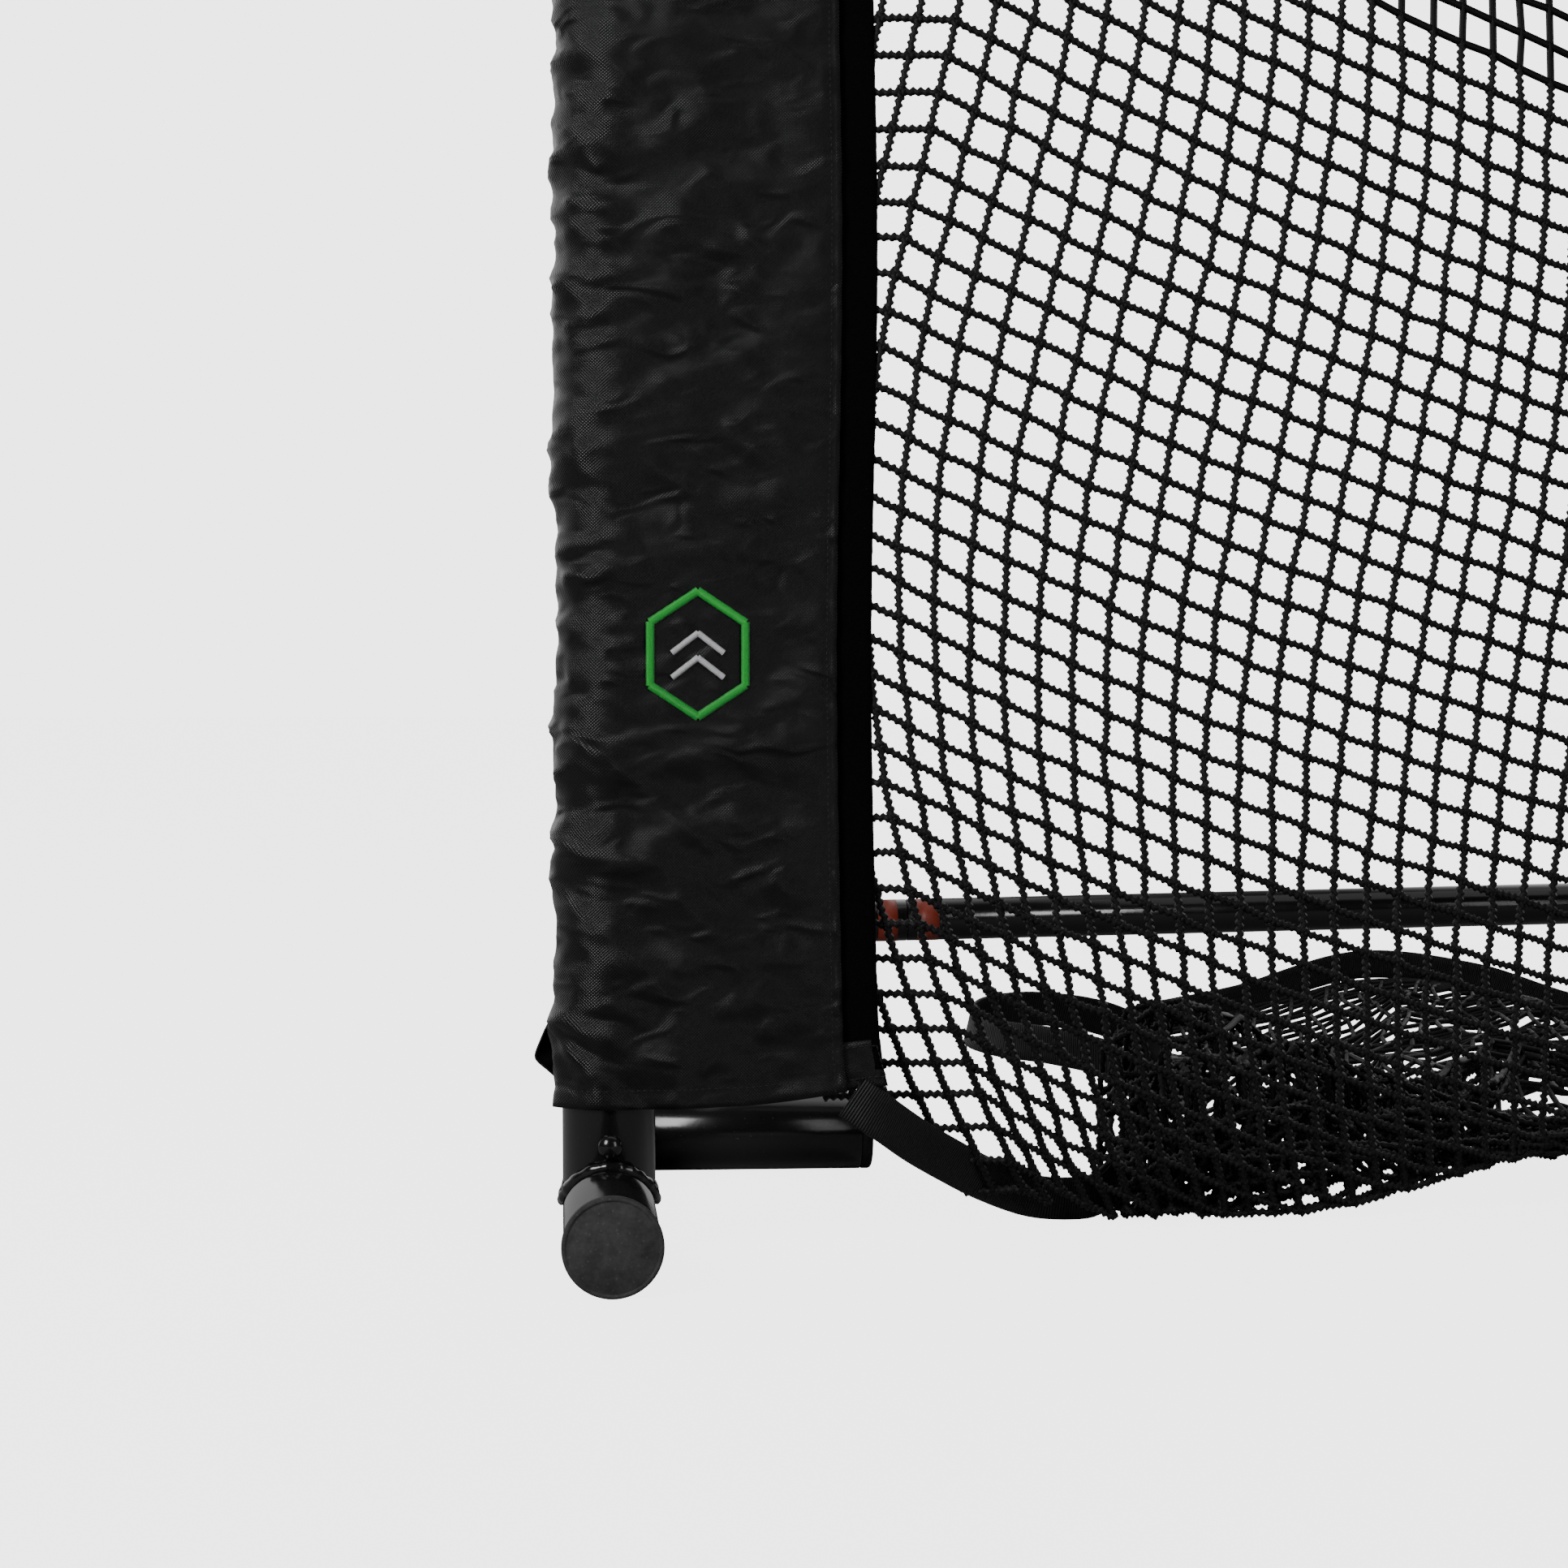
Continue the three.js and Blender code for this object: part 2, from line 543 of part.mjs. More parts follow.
class StandingRibbon extends THREE.Curve {
  getPoint(t, target) {
    return hemCurve.getPointAt(t, target);
  }

  getPointAt(u, target) {
    return hemCurve.getPointAt(u, target);
  }

  computeFrenetFrames(segments) {
    const frames = { tangents: [], normals: [], binormals: [] };
    for (let i = 0; i <= segments; i += 1) {
      const tangent = hemCurve.getTangentAt(i / segments);
      const across = new THREE.Vector3().crossVectors(Z, tangent).normalize();
      frames.tangents.push(tangent);
      frames.normals.push(across);
      frames.binormals.push(new THREE.Vector3().crossVectors(tangent, across).normalize());
    }
    return frames;
  }
}

const webbingThickness = 1.6;
const ribbon = new THREE.Shape([
  new THREE.Vector2(-webbingThickness / 2, -webbingWidth / 2),
  new THREE.Vector2(webbingThickness / 2, -webbingWidth / 2),
  new THREE.Vector2(webbingThickness / 2, webbingWidth / 2),
  new THREE.Vector2(-webbingThickness / 2, webbingWidth / 2),
]);
add("webbing_hem", new THREE.ExtrudeGeometry(ribbon, { extrudePath: new StandingRibbon(), steps: 84 }), twine);

export default object;
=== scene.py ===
"""A free-standing ball-return practice net, seen close at the foot of its left upright."""
import json
from math import acos, asin, cos, exp, hypot, pi, radians, sin, sqrt, tan

import bmesh
import bpy
import numpy as np
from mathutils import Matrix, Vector, noise


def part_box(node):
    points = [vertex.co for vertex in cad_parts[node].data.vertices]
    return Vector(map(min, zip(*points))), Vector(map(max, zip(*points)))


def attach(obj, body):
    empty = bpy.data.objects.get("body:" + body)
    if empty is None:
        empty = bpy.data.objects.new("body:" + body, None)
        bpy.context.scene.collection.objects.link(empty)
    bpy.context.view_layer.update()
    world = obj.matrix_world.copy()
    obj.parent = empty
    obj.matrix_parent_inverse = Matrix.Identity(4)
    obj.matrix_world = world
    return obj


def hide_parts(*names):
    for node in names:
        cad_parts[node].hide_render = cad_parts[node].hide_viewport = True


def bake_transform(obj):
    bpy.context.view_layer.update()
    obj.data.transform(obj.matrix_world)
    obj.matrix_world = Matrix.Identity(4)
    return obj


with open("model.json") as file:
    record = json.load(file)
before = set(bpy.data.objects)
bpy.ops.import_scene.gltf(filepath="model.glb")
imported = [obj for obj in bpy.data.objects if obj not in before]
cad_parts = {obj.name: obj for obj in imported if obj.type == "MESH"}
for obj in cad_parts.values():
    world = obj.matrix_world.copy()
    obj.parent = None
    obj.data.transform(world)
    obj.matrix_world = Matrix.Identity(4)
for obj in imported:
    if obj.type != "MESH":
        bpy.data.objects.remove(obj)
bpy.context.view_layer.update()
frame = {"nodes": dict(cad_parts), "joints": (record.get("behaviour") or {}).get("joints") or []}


def middle(node):
    low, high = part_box(node)
    return (Vector(low) + Vector(high)) / 2


upright = middle("lower_upright_left")
left_x = upright.x
mouth_y = upright.y
rail_z = middle("base_rail_left").z
top_z = middle("top_bar_left").z

# ---------------------------------------------------------------------------------------------------------------
# Camera: a 70 mm lens just in front of the left foot, about 23 cm off the floor, looking a little to the right
# and slightly down.
lens = bpy.data.cameras.new("camera")
lens.lens = 70
lens.sensor_width = 36
camera = bpy.data.objects.new("camera", lens)
camera.location = (left_x - 0.0198, mouth_y - 1.2525, 0.232)
camera.rotation_euler = (radians(90 - 1.68), 0, radians(-4.2))
bpy.context.scene.collection.objects.link(camera)
bpy.context.scene.camera = camera


# ---------------------------------------------------------------------------------------------------------------
# Frame tubes: 38.1 mm steel tube, cut, bent and coped, then powder coated gloss black. The coat has a faint
# orange peel and a few dust specks. Each tube is one sweep with a softened, open end.
def material(name, rough, colour=(0.5, 0.5, 0.5, 1)):
    made = bpy.data.materials.new(name)
    made.use_nodes = True
    shader = made.node_tree.nodes["Principled BSDF"]
    shader.inputs["Base Color"].default_value = colour
    shader.inputs["Roughness"].default_value = rough
    return made, shader


def add_node(made, kind, links=(), **values):
    """Adds a shader node. links are (input name, output socket) pairs, and values set its settings or inputs."""
    node = made.node_tree.nodes.new(kind)
    for key, value in values.items():
        if key in node.bl_rna.properties.keys():
            setattr(node, key, value)
        else:
            node.inputs[key.replace("_", " ")].default_value = value
    for key, socket in links:
        made.node_tree.links.new(socket, node.inputs[key])
    return node


def mixed(made, factor, low, high):
    """A colour between low and high by a factor socket."""
    ramp = add_node(made, "ShaderNodeValToRGB", [("Fac", factor)])
    ramp.color_ramp.elements[0].color = (*low, 1)
    ramp.color_ramp.elements[1].color = (*high, 1)
    return ramp


def object_place(made):
    return add_node(made, "ShaderNodeTexCoord").outputs["Object"]


def paint_coat(name, peel, dust):
    made, shader = material(name, 0.2)
    place = object_place(made)
    specks = add_node(made, "ShaderNodeTexNoise", [("Vector", place)], Scale=900.0, Detail=2.0)
    tone = mixed(made, specks.outputs["Fac"], (0.0065, 0.0065, 0.007), (0.075, 0.072, 0.068))
    tone.color_ramp.elements[0].position = dust
    tone.color_ramp.elements[1].position = dust + 0.1
    haze = add_node(made, "ShaderNodeTexNoise", [("Vector", place)], Scale=35.0, Detail=4.0)
    gloss = add_node(made, "ShaderNodeMapRange", [("Value", haze.outputs["Fac"])], To_Min=0.1, To_Max=0.26)
    ripple = add_node(made, "ShaderNodeTexNoise", [("Vector", place)], Scale=330.0, Detail=1.0)
    relief = add_node(made, "ShaderNodeBump", [("Height", ripple.outputs["Fac"])], Strength=peel, Distance=0.0004)
    made.node_tree.links.new(tone.outputs["Color"], shader.inputs["Base Color"])
    made.node_tree.links.new(gloss.outputs["Result"], shader.inputs["Roughness"])
    made.node_tree.links.new(relief.outputs["Normal"], shader.inputs["Normal"])
    return made


coat = paint_coat("gloss_black_powder_coat", 0.05, 0.72)
tube_r = 0.01905
bore_r = tube_r - 0.0016


def new_mesh(name, points, faces, made, smooth=True):
    mesh = bpy.data.meshes.new(name)
    mesh.from_pydata([tuple(p) for p in points], [], faces)
    mesh.materials.append(made)
    if smooth:
        mesh.shade_smooth()
    piece = bpy.data.objects.new(name, mesh)
    bpy.context.scene.collection.objects.link(piece)
    return piece


def rings_to_faces(count, sides, closed=False):
    faces = []
    for i in range(count if closed else count - 1):
        for j in range(sides):
            here, there = i * sides, ((i + 1) % count) * sides
            faces.append((here + j, here + (j + 1) % sides, there + (j + 1) % sides, there + j))
    return faces


def swept(path, radii, sides=48):
    """Rings of the given radii along a path, each square to it, with no twist."""
    points = []
    count = len(path)
    ahead = [(path[min(i + 1, count - 1)] - path[max(i - 1, 0)]) for i in range(count)]
    for i in range(count):
        if ahead[i].length < 1e-7:
            ahead[i] = ahead[i - 1] if i else path[-1] - path[0]
    across = ahead[0].orthogonal().normalized()
    last = ahead[0].normalized()
    for centre, direction, radius in zip(path, ahead, radii):
        direction = direction.normalized()
        across = last.rotation_difference(direction) @ across
        last = direction
        up = direction.cross(across)
        for j in range(sides):
            angle = 2 * pi * j / sides
            points.append(centre + (across * cos(angle) + up * sin(angle)) * radius)
    return points


def tube(name, path, node, made=coat):
    """An open tube along a path, with rounded lips and a short stretch of its bore."""
    start = (path[1] - path[0]).normalized()
    end = (path[-1] - path[-2]).normalized()
    lip = 0.0005
    stations = [path[0] + start * 0.03, path[0] + start * lip, path[0], path[0] + start * lip, *path[1:-1]]
    stations += [path[-1] - end * lip, path[-1], path[-1] - end * lip, path[-1] - end * 0.03]
    radii = [bore_r, bore_r, tube_r - lip, tube_r] + [tube_r] * (len(path) - 2) + [tube_r, tube_r - lip, bore_r, bore_r]
    sides = 48
    points = []
    frames = swept(path, [1.0] * len(path), sides)
    spokes = [[frames[i * sides + j] - path[i] for j in range(sides)] for i in range(len(path))]
    for i, (centre, radius) in enumerate(zip(stations, radii)):
        spoke = spokes[0 if i < 4 else -1 if i >= len(stations) - 4 else i - 3]
        points += [centre + s * radius for s in spoke]
    piece = new_mesh(name, points, rings_to_faces(len(stations), sides), made)
    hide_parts(node)
    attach(piece, "frame")
    return piece


def bent(start, corner, finish, radius, cuts=24):
    """Points of a run from start round a corner to finish."""
    into, out = (corner - start).normalized(), (finish - corner).normalized()
    turn = into.angle(out)
    first = corner - into * radius * tan(turn / 2)
    inward = (out - into * into.dot(out)).normalized()
    arc = [
        first + into * radius * sin(turn * i / cuts) + inward * radius * (1 - cos(turn * i / cuts))
        for i in range(cuts + 1)
    ]
    return [start, *arc, finish]


crown = tan(radians(1.1))
rear_y = mouth_y + 1.524
for hand, side in (("left", -1), ("right", 1)):

    def at(inset, y, z, side=side):
        """A point by its distance inward from this side's upright, and back from the mouth."""
        return Vector((side * (-left_x - inset), mouth_y + y, z))

    tube(f"rail_{hand}", [at(0, -0.0837, rail_z), at(0, 1.204, rail_z)], f"base_rail_{hand}")
    tube(f"socket_{hand}", [at(0, 0, rail_z + 0.012), at(0, 0, 0.19)], f"upright_socket_{hand}")
    tube(f"foot_{hand}", [at(0.012, 0.226, rail_z), at(0.1257, 0.226, rail_z)], f"cross_foot_{hand}")
    tube(f"upright_{hand}", [at(0, 0, 0.1903), at(0, 0, 1.1497)], f"lower_upright_{hand}")
    high = bent(at(0, 0, 1.15), at(0, 0, top_z), at(0.33, 0, top_z), 0.15)
    tube(f"corner_{hand}", high, f"upper_upright_{hand}")
    rear = bent(at(0, 1.2043, rail_z), at(0, 1.524, rail_z), at(0.296, 1.524, rail_z + 0.296 * crown), 0.114)
    tube(f"rear_bend_{hand}", rear, f"rear_corner_{hand}")
    tube(f"top_{hand}", [at(0.3303, 0, top_z), at(-left_x - 0.00015, 0, top_z)], f"top_bar_{hand}")
    rear = [at(0.2963, 1.524, rail_z + 0.2963 * crown), at(-left_x, 1.524, rail_z - left_x * crown)]
    tube(f"rear_{hand}", rear, f"rear_bar_{hand}")

# Colour bands: two turns of brick-red tape, one each side of the rear corner's joint, that tell which tubes pair.
tape_red, shader = material("brick_red_tape", 0.45)
wear = add_node(tape_red, "ShaderNodeTexNoise", [("Vector", object_place(tape_red))], Scale=180.0, Detail=4.0)
tone = mixed(tape_red, wear.outputs["Fac"], (0.19, 0.016, 0.008), (0.32, 0.045, 0.02))
tape_red.node_tree.links.new(tone.outputs["Color"], shader.inputs["Base Color"])
crease = add_node(tape_red, "ShaderNodeBump", [("Height", wear.outputs["Fac"])], Strength=0.3, Distance=0.0003)
tape_red.node_tree.links.new(crease.outputs["Normal"], shader.inputs["Normal"])
for hand, side in (("left", -1), ("right", 1)):
    for number, (near, far) in enumerate(((0.269, 0.287), (0.305, 0.325)), 1):
        path, radii = [], []
        for inset, radius in ((near, 0), (near, 0.0002), (near + 0.009, 0.00022), (far, 0.0002), (far, 0)):
            path.append(Vector((side * (-left_x - inset), rear_y, rail_z + inset * crown)))
            radii.append(tube_r + radius - 0.00005)
        band = new_mesh(f"band_{hand}_{number}", swept(path, radii), rings_to_faces(5, 48), tape_red)
        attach(band, "frame")

# ---------------------------------------------------------------------------------------------------------------
# Weld beads: the socket stands on the rail in a saddle joint, closed by a hand-laid bead of overlapping drops
# under the same powder coat.
weld_coat = paint_coat("coated_weld", 0.5, 0.74)
for hand, side in (("left", -1), ("right", 1)):
    path, radii = [], []
    steps = 260
    for i in range(steps):
        angle = 2 * pi * i / steps
        reach = tube_r + 0.0006
        x, y = reach * cos(angle), reach * sin(angle)
        drop = 0.5 + 0.5 * cos(angle * 22 + 1.5 * sin(3 * angle))
        lump = noise.noise(Vector((3 * cos(angle), 3 * sin(angle), 7.3 + side)))
        path.append(Vector((side * -left_x + side * x, mouth_y + y, rail_z + hypot(y, 0.0045) + 0.0002)))
        radii.append(0.0019 + 0.0004 * drop + 0.0006 * lump)
    sides = 16
    points = []
    for i in range(steps):
        ahead = (path[(i + 1) % steps] - path[i - 1]).normalized()
        outward = Vector((path[i].x - side * -left_x, path[i].y - mouth_y, 0)).normalized()
        outward = (outward - ahead * outward.dot(ahead)).normalized()
        up = ahead.cross(outward)
        for j in range(sides):
            turn = 2 * pi * j / sides
            points.append(path[i] + (outward * cos(turn) * 0.8 + up * sin(turn) * 1.15) * radii[i])
    bead = new_mesh(f"weld_{hand}", points, rings_to_faces(steps, sides, closed=True), weld_coat)
    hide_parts(f"socket_weld_{hand}")
    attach(bead, "frame")

# ---------------------------------------------------------------------------------------------------------------
# Foot caps: moulded rubber plugs. The front one has a flat face with a raised rim, scuffed and dusty; the cross
# foot's is smoother, and its rubber is painted darker as painted shade from the sleeve.


def turned(name, outline, origin, axis, made, sides=72):
    """A piece turned about a line: outline is (radius, distance along) from the axis out and back."""
    turn = Vector((0, 0, 1)).rotation_difference(axis)
    points = []
    for radius, along in outline:
        for j in range(sides):
            angle = 2 * pi * j / sides
            points.append(origin + turn @ Vector((radius * cos(angle), radius * sin(angle), along)))
    return new_mesh(name, points, rings_to_faces(len(outline), sides), made)


def rubber(name, low, high, scuffs):
    made, shader = material(name, 0.8)
    shader.inputs["Specular IOR Level"].default_value = 0.2
    place = object_place(made)
    blotch = add_node(made, "ShaderNodeTexNoise", [("Vector", place)], Scale=160.0, Detail=6.0, Roughness=0.7)
    tone = mixed(made, blotch.outputs["Fac"], low, high)
    tone.color_ramp.elements[0].position = 0.35
    tone.color_ramp.elements[1].position = 0.7
    dust = add_node(made, "ShaderNodeTexVoronoi", [("Vector", place)], Scale=420.0)
    fleck = add_node(made, "ShaderNodeMapRange", [("Value", dust.outputs["Distance"])], From_Min=0.1, From_Max=0.22,
                     To_Min=scuffs, To_Max=0.0)
    both = add_node(made, "ShaderNodeMix", [("Factor", fleck.outputs["Result"])], data_type="RGBA")
    made.node_tree.links.new(tone.outputs["Color"], both.inputs[6])
    both.inputs[7].default_value = (0.2, 0.2, 0.2, 1)
    made.node_tree.links.new(both.outputs[2], shader.inputs["Base Color"])
    grain = add_node(made, "ShaderNodeTexNoise", [("Vector", place)], Scale=1500.0, Detail=3.0)
    relief = add_node(made, "ShaderNodeBump", [("Height", grain.outputs["Fac"])], Strength=0.35, Distance=0.0003)
    made.node_tree.links.new(relief.outputs["Normal"], shader.inputs["Normal"])
    return made


cap_rubber = rubber("scuffed_rubber", (0.026, 0.026, 0.027), (0.055, 0.055, 0.057), 0.13)
# Painted shade: the cross foot's cap gets a copy of the rubber several times darker, standing for the sleeve's shade on
# it.
shaded_plug_rubber = rubber("shade_darkened_rubber", (0.008, 0.008, 0.008), (0.016, 0.016, 0.016), 0.1)
front_cap = [(0.0, 0.0003), (0.0174, 0.0002), (0.0178, 0.0005), (0.0181, 0.0005), (0.0184, 0.0), (0.0190, 0.0),
             (0.0196, 0.0004), (0.0199, 0.0011), (0.0199, 0.0036), (0.0197, 0.004), (0.0166, 0.0042), (0.0164, 0.024),
             (0.0, 0.024)]
end_cap = [(0.0, 0.0), (0.0164, 0.0), (0.0168, 0.0187), (0.0187, 0.0188), (0.01905, 0.0192), (0.01905, 0.0222),
           (0.0186, 0.0233), (0.0176, 0.0239), (0.0165, 0.024), (0.0, 0.024)]
for hand, side in (("left", -1), ("right", 1)):
    origin = Vector((side * -left_x, mouth_y - 0.088, rail_z))
    cap = turned(f"front_cap_{hand}", front_cap, origin, Vector((0, 1, 0)), cap_rubber)
    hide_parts(f"front_foot_cap_{hand}")
    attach(cap, "frame")
    origin = Vector((side * (-left_x - 0.107), mouth_y + 0.226, rail_z))
    cap = turned(f"foot_cap_{hand}", end_cap, origin, Vector((-side, 0, 0)), shaded_plug_rubber)
    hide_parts(f"cross_foot_cap_{hand}")
    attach(cap, "frame")

# ---------------------------------------------------------------------------------------------------------------
# Snap buttons: domed steel pins in the same black coat, each with a flange inside the tube and a hairpin leaf
# spring of bare spring steel behind it.
button_coat = paint_coat("coated_button", 0.02, 0.78)
dome = [(0.0, 0.012), (0.0063, 0.012), (0.0063, 0.013), (0.0048, 0.0132)]
base = tube_r + 0.0045 - (0.0062 - sqrt(0.0062**2 - 0.0048**2))
for i in range(9):
    angle = acos(0.0048 / 0.0062) * (1 - i / 8) + pi / 2 * i / 8
    dome.append((0.0062 * cos(angle) if i < 8 else 0.0, base + 0.0062 * sin(angle) - sqrt(0.0062**2 - 0.0048**2)))
for joint in frame["joints"]:
    place = joint["child"].removeprefix("button_")
    node = f"snap_button_{place}"
    out = -Vector(joint["axis"]).normalized()
    low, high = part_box(node)
    centre = (Vector(low) + Vector(high)) / 2
    origin = centre - out * (0.012 + tube_r + 0.0045) / 2
    button = turned(f"button_{place}", dome, origin, out, button_coat, sides=32)
    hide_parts(node)
    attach(button, joint["child"])

spring_steel, shader = material("spring_steel", 0.35, (0.42, 0.42, 0.43, 1))
shader.inputs["Metallic"].default_value = 1.0
streak = add_node(spring_steel, "ShaderNodeTexNoise", [("Vector", object_place(spring_steel))], Scale=700.0, Detail=2.0)
tone = mixed(spring_steel, streak.outputs["Fac"], (0.34, 0.34, 0.35), (0.5, 0.5, 0.5))
spring_steel.node_tree.links.new(tone.outputs["Color"], shader.inputs["Base Color"])
# Each hairpin is the part's own strip with its sharp edges rounded, in spring steel, left where it stands.
for joint in frame["joints"]:
    place = joint["child"].removeprefix("button_")
    node = f"leaf_spring_{place}"
    out = -Vector(joint["axis"]).normalized()
    strip = frame["nodes"][node].data.copy()
    shape = bmesh.new()
    shape.from_mesh(strip)
    bmesh.ops.remove_doubles(shape, verts=shape.verts, dist=0.00001)
    sharp = [edge for edge in shape.edges if edge.is_manifold and edge.calc_face_angle() > radians(50)]
    bmesh.ops.bevel(shape, geom=sharp, offset=0.00012, segments=2, profile=0.5, affect="EDGES")
    shape.to_mesh(strip)
    shape.free()
    strip.materials.clear()
    strip.materials.append(spring_steel)
    spring = bpy.data.objects.new(f"spring_{place}", strip)
    bpy.context.scene.collection.objects.link(spring)
    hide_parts(node)
    reach = [out.dot(vertex.co) for vertex in strip.vertices]
    core = middle(node)
    near = core + out * (min(reach) + 0.0009 - out.dot(core))
    far = core + out * (max(reach) - 0.0009 - out.dot(core))
    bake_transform(spring)

# ---------------------------------------------------------------------------------------------------------------
# Sleeves: coated oxford cloth wrapped round the tube and sewn to a strip of hook-and-loop tape at its edge. The
# cloth is a little slack, so it creases in fans from the tube side and puckers along its seams.
oxford, shader = material("black_oxford_cloth", 0.5)
shader.inputs["Specular IOR Level"].default_value = 0.27
weave_map = add_node(oxford, "ShaderNodeUVMap", uv_map="cloth")
parts = add_node(oxford, "ShaderNodeSeparateXYZ", [("Vector", weave_map.outputs["UV"])])
waves = []
for axis in ("X", "Y"):
    turns = add_node(oxford, "ShaderNodeMath", [(0, parts.outputs[axis])], operation="MULTIPLY")
    turns.inputs[1].default_value = 2 * pi / 0.00125
    waves.append(add_node(oxford, "ShaderNodeMath", [(0, turns.outputs[0])], operation="SINE"))
weave = add_node(oxford, "ShaderNodeMath", [(0, waves[0].outputs[0]), (1, waves[1].outputs[0])], operation="MULTIPLY")
patch = add_node(oxford, "ShaderNodeTexNoise", [("Vector", object_place(oxford))], Scale=45.0, Detail=4.0)
shade = add_node(oxford, "ShaderNodeMapRange", [("Value", weave.outputs[0])], From_Min=-1.0, From_Max=1.0)
tone = mixed(oxford, shade.outputs["Result"], (0.0003, 0.0003, 0.0003), (0.0075, 0.0075, 0.0079))
oxford.node_tree.links.new(tone.outputs["Color"], shader.inputs["Base Color"])
satin = add_node(oxford, "ShaderNodeMapRange", [("Value", patch.outputs["Fac"])], To_Min=0.25, To_Max=0.38)
oxford.node_tree.links.new(satin.outputs["Result"], shader.inputs["Roughness"])
along = add_node(oxford, "ShaderNodeMapping", [("Vector", weave_map.outputs["UV"])])
along.inputs["Scale"].default_value = (0.55, 1.0, 1.0)
crinkle = add_node(oxford, "ShaderNodeTexNoise", [("Vector", along.outputs["Vector"])], Scale=80.0, Detail=3.0,
                   Roughness=0.5, Distortion=0.8)
crinkle.noise_type = "RIDGED_MULTIFRACTAL"
relief = add_node(oxford, "ShaderNodeBump", [("Height", crinkle.outputs["Fac"])], Strength=0.8, Distance=0.003)
threads = add_node(oxford, "ShaderNodeBump", [("Height", weave.outputs[0]), ("Normal", relief.outputs["Normal"])],
                   Strength=0.6, Distance=0.00015)
oxford.node_tree.links.new(threads.outputs["Normal"], shader.inputs["Normal"])

thread, shader = material("black_thread", 0.6)
fibre = add_node(thread, "ShaderNodeTexNoise", [("Vector", object_place(thread))], Scale=2500.0, Detail=1.0)
tone = mixed(thread, fibre.outputs["Fac"], (0.001, 0.001, 0.001), (0.006, 0.006, 0.006))
thread.node_tree.links.new(tone.outputs["Color"], shader.inputs["Base Color"])

tape_cloth, shader = material("black_loop_tape", 0.95)
shader.inputs["Specular IOR Level"].default_value = 0.04
fuzz = add_node(tape_cloth, "ShaderNodeTexNoise", [("Vector", object_place(tape_cloth))], Scale=1300.0, Detail=5.0,
                Roughness=0.8)
tone = mixed(tape_cloth, fuzz.outputs["Fac"], (0.0008, 0.0008, 0.0008), (0.0055, 0.0055, 0.0055))
tape_cloth.node_tree.links.new(tone.outputs["Color"], shader.inputs["Base Color"])
relief = add_node(tape_cloth, "ShaderNodeBump", [("Height", fuzz.outputs["Fac"])], Strength=1.0, Distance=0.0012)
tape_cloth.node_tree.links.new(relief.outputs["Normal"], shader.inputs["Normal"])

sleeve_r = 0.0199
edge_s = 0.109
edge_y = 0.0022


def sleeve_outline(step):
    """Points (inset, depth) round the sleeve from its front edge, over the front, round the tube and back."""
    lean = asin((sleeve_r - edge_y) / hypot(edge_s, edge_y))
    first = pi / 2 - lean
    touch = (sleeve_r * cos(first), -sleeve_r * sin(first))
    run = hypot(edge_s - touch[0], touch[1] + edge_y)
    count = round(run / step)
    back = [
        (edge_s + (touch[0] - edge_s) * i / count, edge_y - (touch[1] + edge_y) * i / count) for i in range(count)
    ]
    front = [(s, -y) for s, y in back if s < edge_s - 0.0142]
    turn = 2 * pi - 2 * first
    bends = round(turn * sleeve_r / step)
    arc = [
        (sleeve_r * cos(first + turn * i / bends), -sleeve_r * sin(first + turn * i / bends)) for i in range(bends + 1)
    ]
    return np.array(front + arc + back[::-1]), len(front) + bends // 2


def smoothstep(low, high, x):
    x = np.clip((x - low) / (high - low), 0, 1)
    return x * x * (3 - 2 * x)


def cloth_noise(u, v, scale, seed):
    """Smooth noise over a grid of cloth coordinates, longer across the sleeve than along it."""
    out = np.empty(u.shape)
    flat = out.ravel()
    for i, (a, b) in enumerate(zip(u.ravel(), v.ravel())):
        flat[i] = noise.noise(Vector((a / scale / 2.1, b / scale, seed)))
    return out


def ridge(u, v, start, angle, length, width, height):
    """A crease from a point, fading along its length, with a sharp crest."""
    du, dv = u - start[0], v - start[1]
    along = du * cos(angle) + dv * sin(angle)
    off = dv * cos(angle) - du * sin(angle) + 0.09 * along**2 / length
    taper = np.clip(along / 0.006, 0, 1) * np.exp(-np.clip(along, 0, None) / length)
    return height * taper * np.exp(-np.abs(off) / width)


# Each sleeve has its own random creases, from a fixed seed.
folds = np.random.default_rng(41)


def creased(u, v, length):
    """How far the cloth stands out, by distance round from the tube side, u, and along, v."""
    out = 0.0018 * cloth_noise(u, v, 0.06, 3.0) + 0.0024 * (0.5 - np.abs(cloth_noise(u, v, 0.028, 9.0)) * 2)
    out += 0.0010 * (0.5 - np.abs(cloth_noise(u, v, 0.014, 17.0)) * 2)
    for centre in np.arange(0.0, length, 0.0105):
        for way in (1, 1, -1):
            start = (way * folds.uniform(-0.012, 0.012), centre + folds.uniform(-0.006, 0.006))
            angle = folds.uniform(-0.62, 0.62) if way > 0 else pi - folds.uniform(-0.62, 0.62)
            near = np.abs(v[0] - start[1]) < 0.12
            out[:, near] += ridge(u[:, near], v[:, near], start, angle, folds.uniform(0.015, 0.06),
                                  folds.uniform(0.0020, 0.0044), folds.uniform(-0.0016, 0.0034))
        for turned_back in (0.0, pi):
            start = (folds.uniform(0.015, 0.105), centre + folds.uniform(-0.006, 0.006))
            near = np.abs(v[0] - start[1]) < 0.08
            out[:, near] += ridge(u[:, near], v[:, near], start, turned_back + folds.uniform(-0.5, 0.5),
                                  folds.uniform(0.008, 0.022), folds.uniform(0.0020, 0.0042),
                                  folds.uniform(-0.0016, 0.0018))
    return out


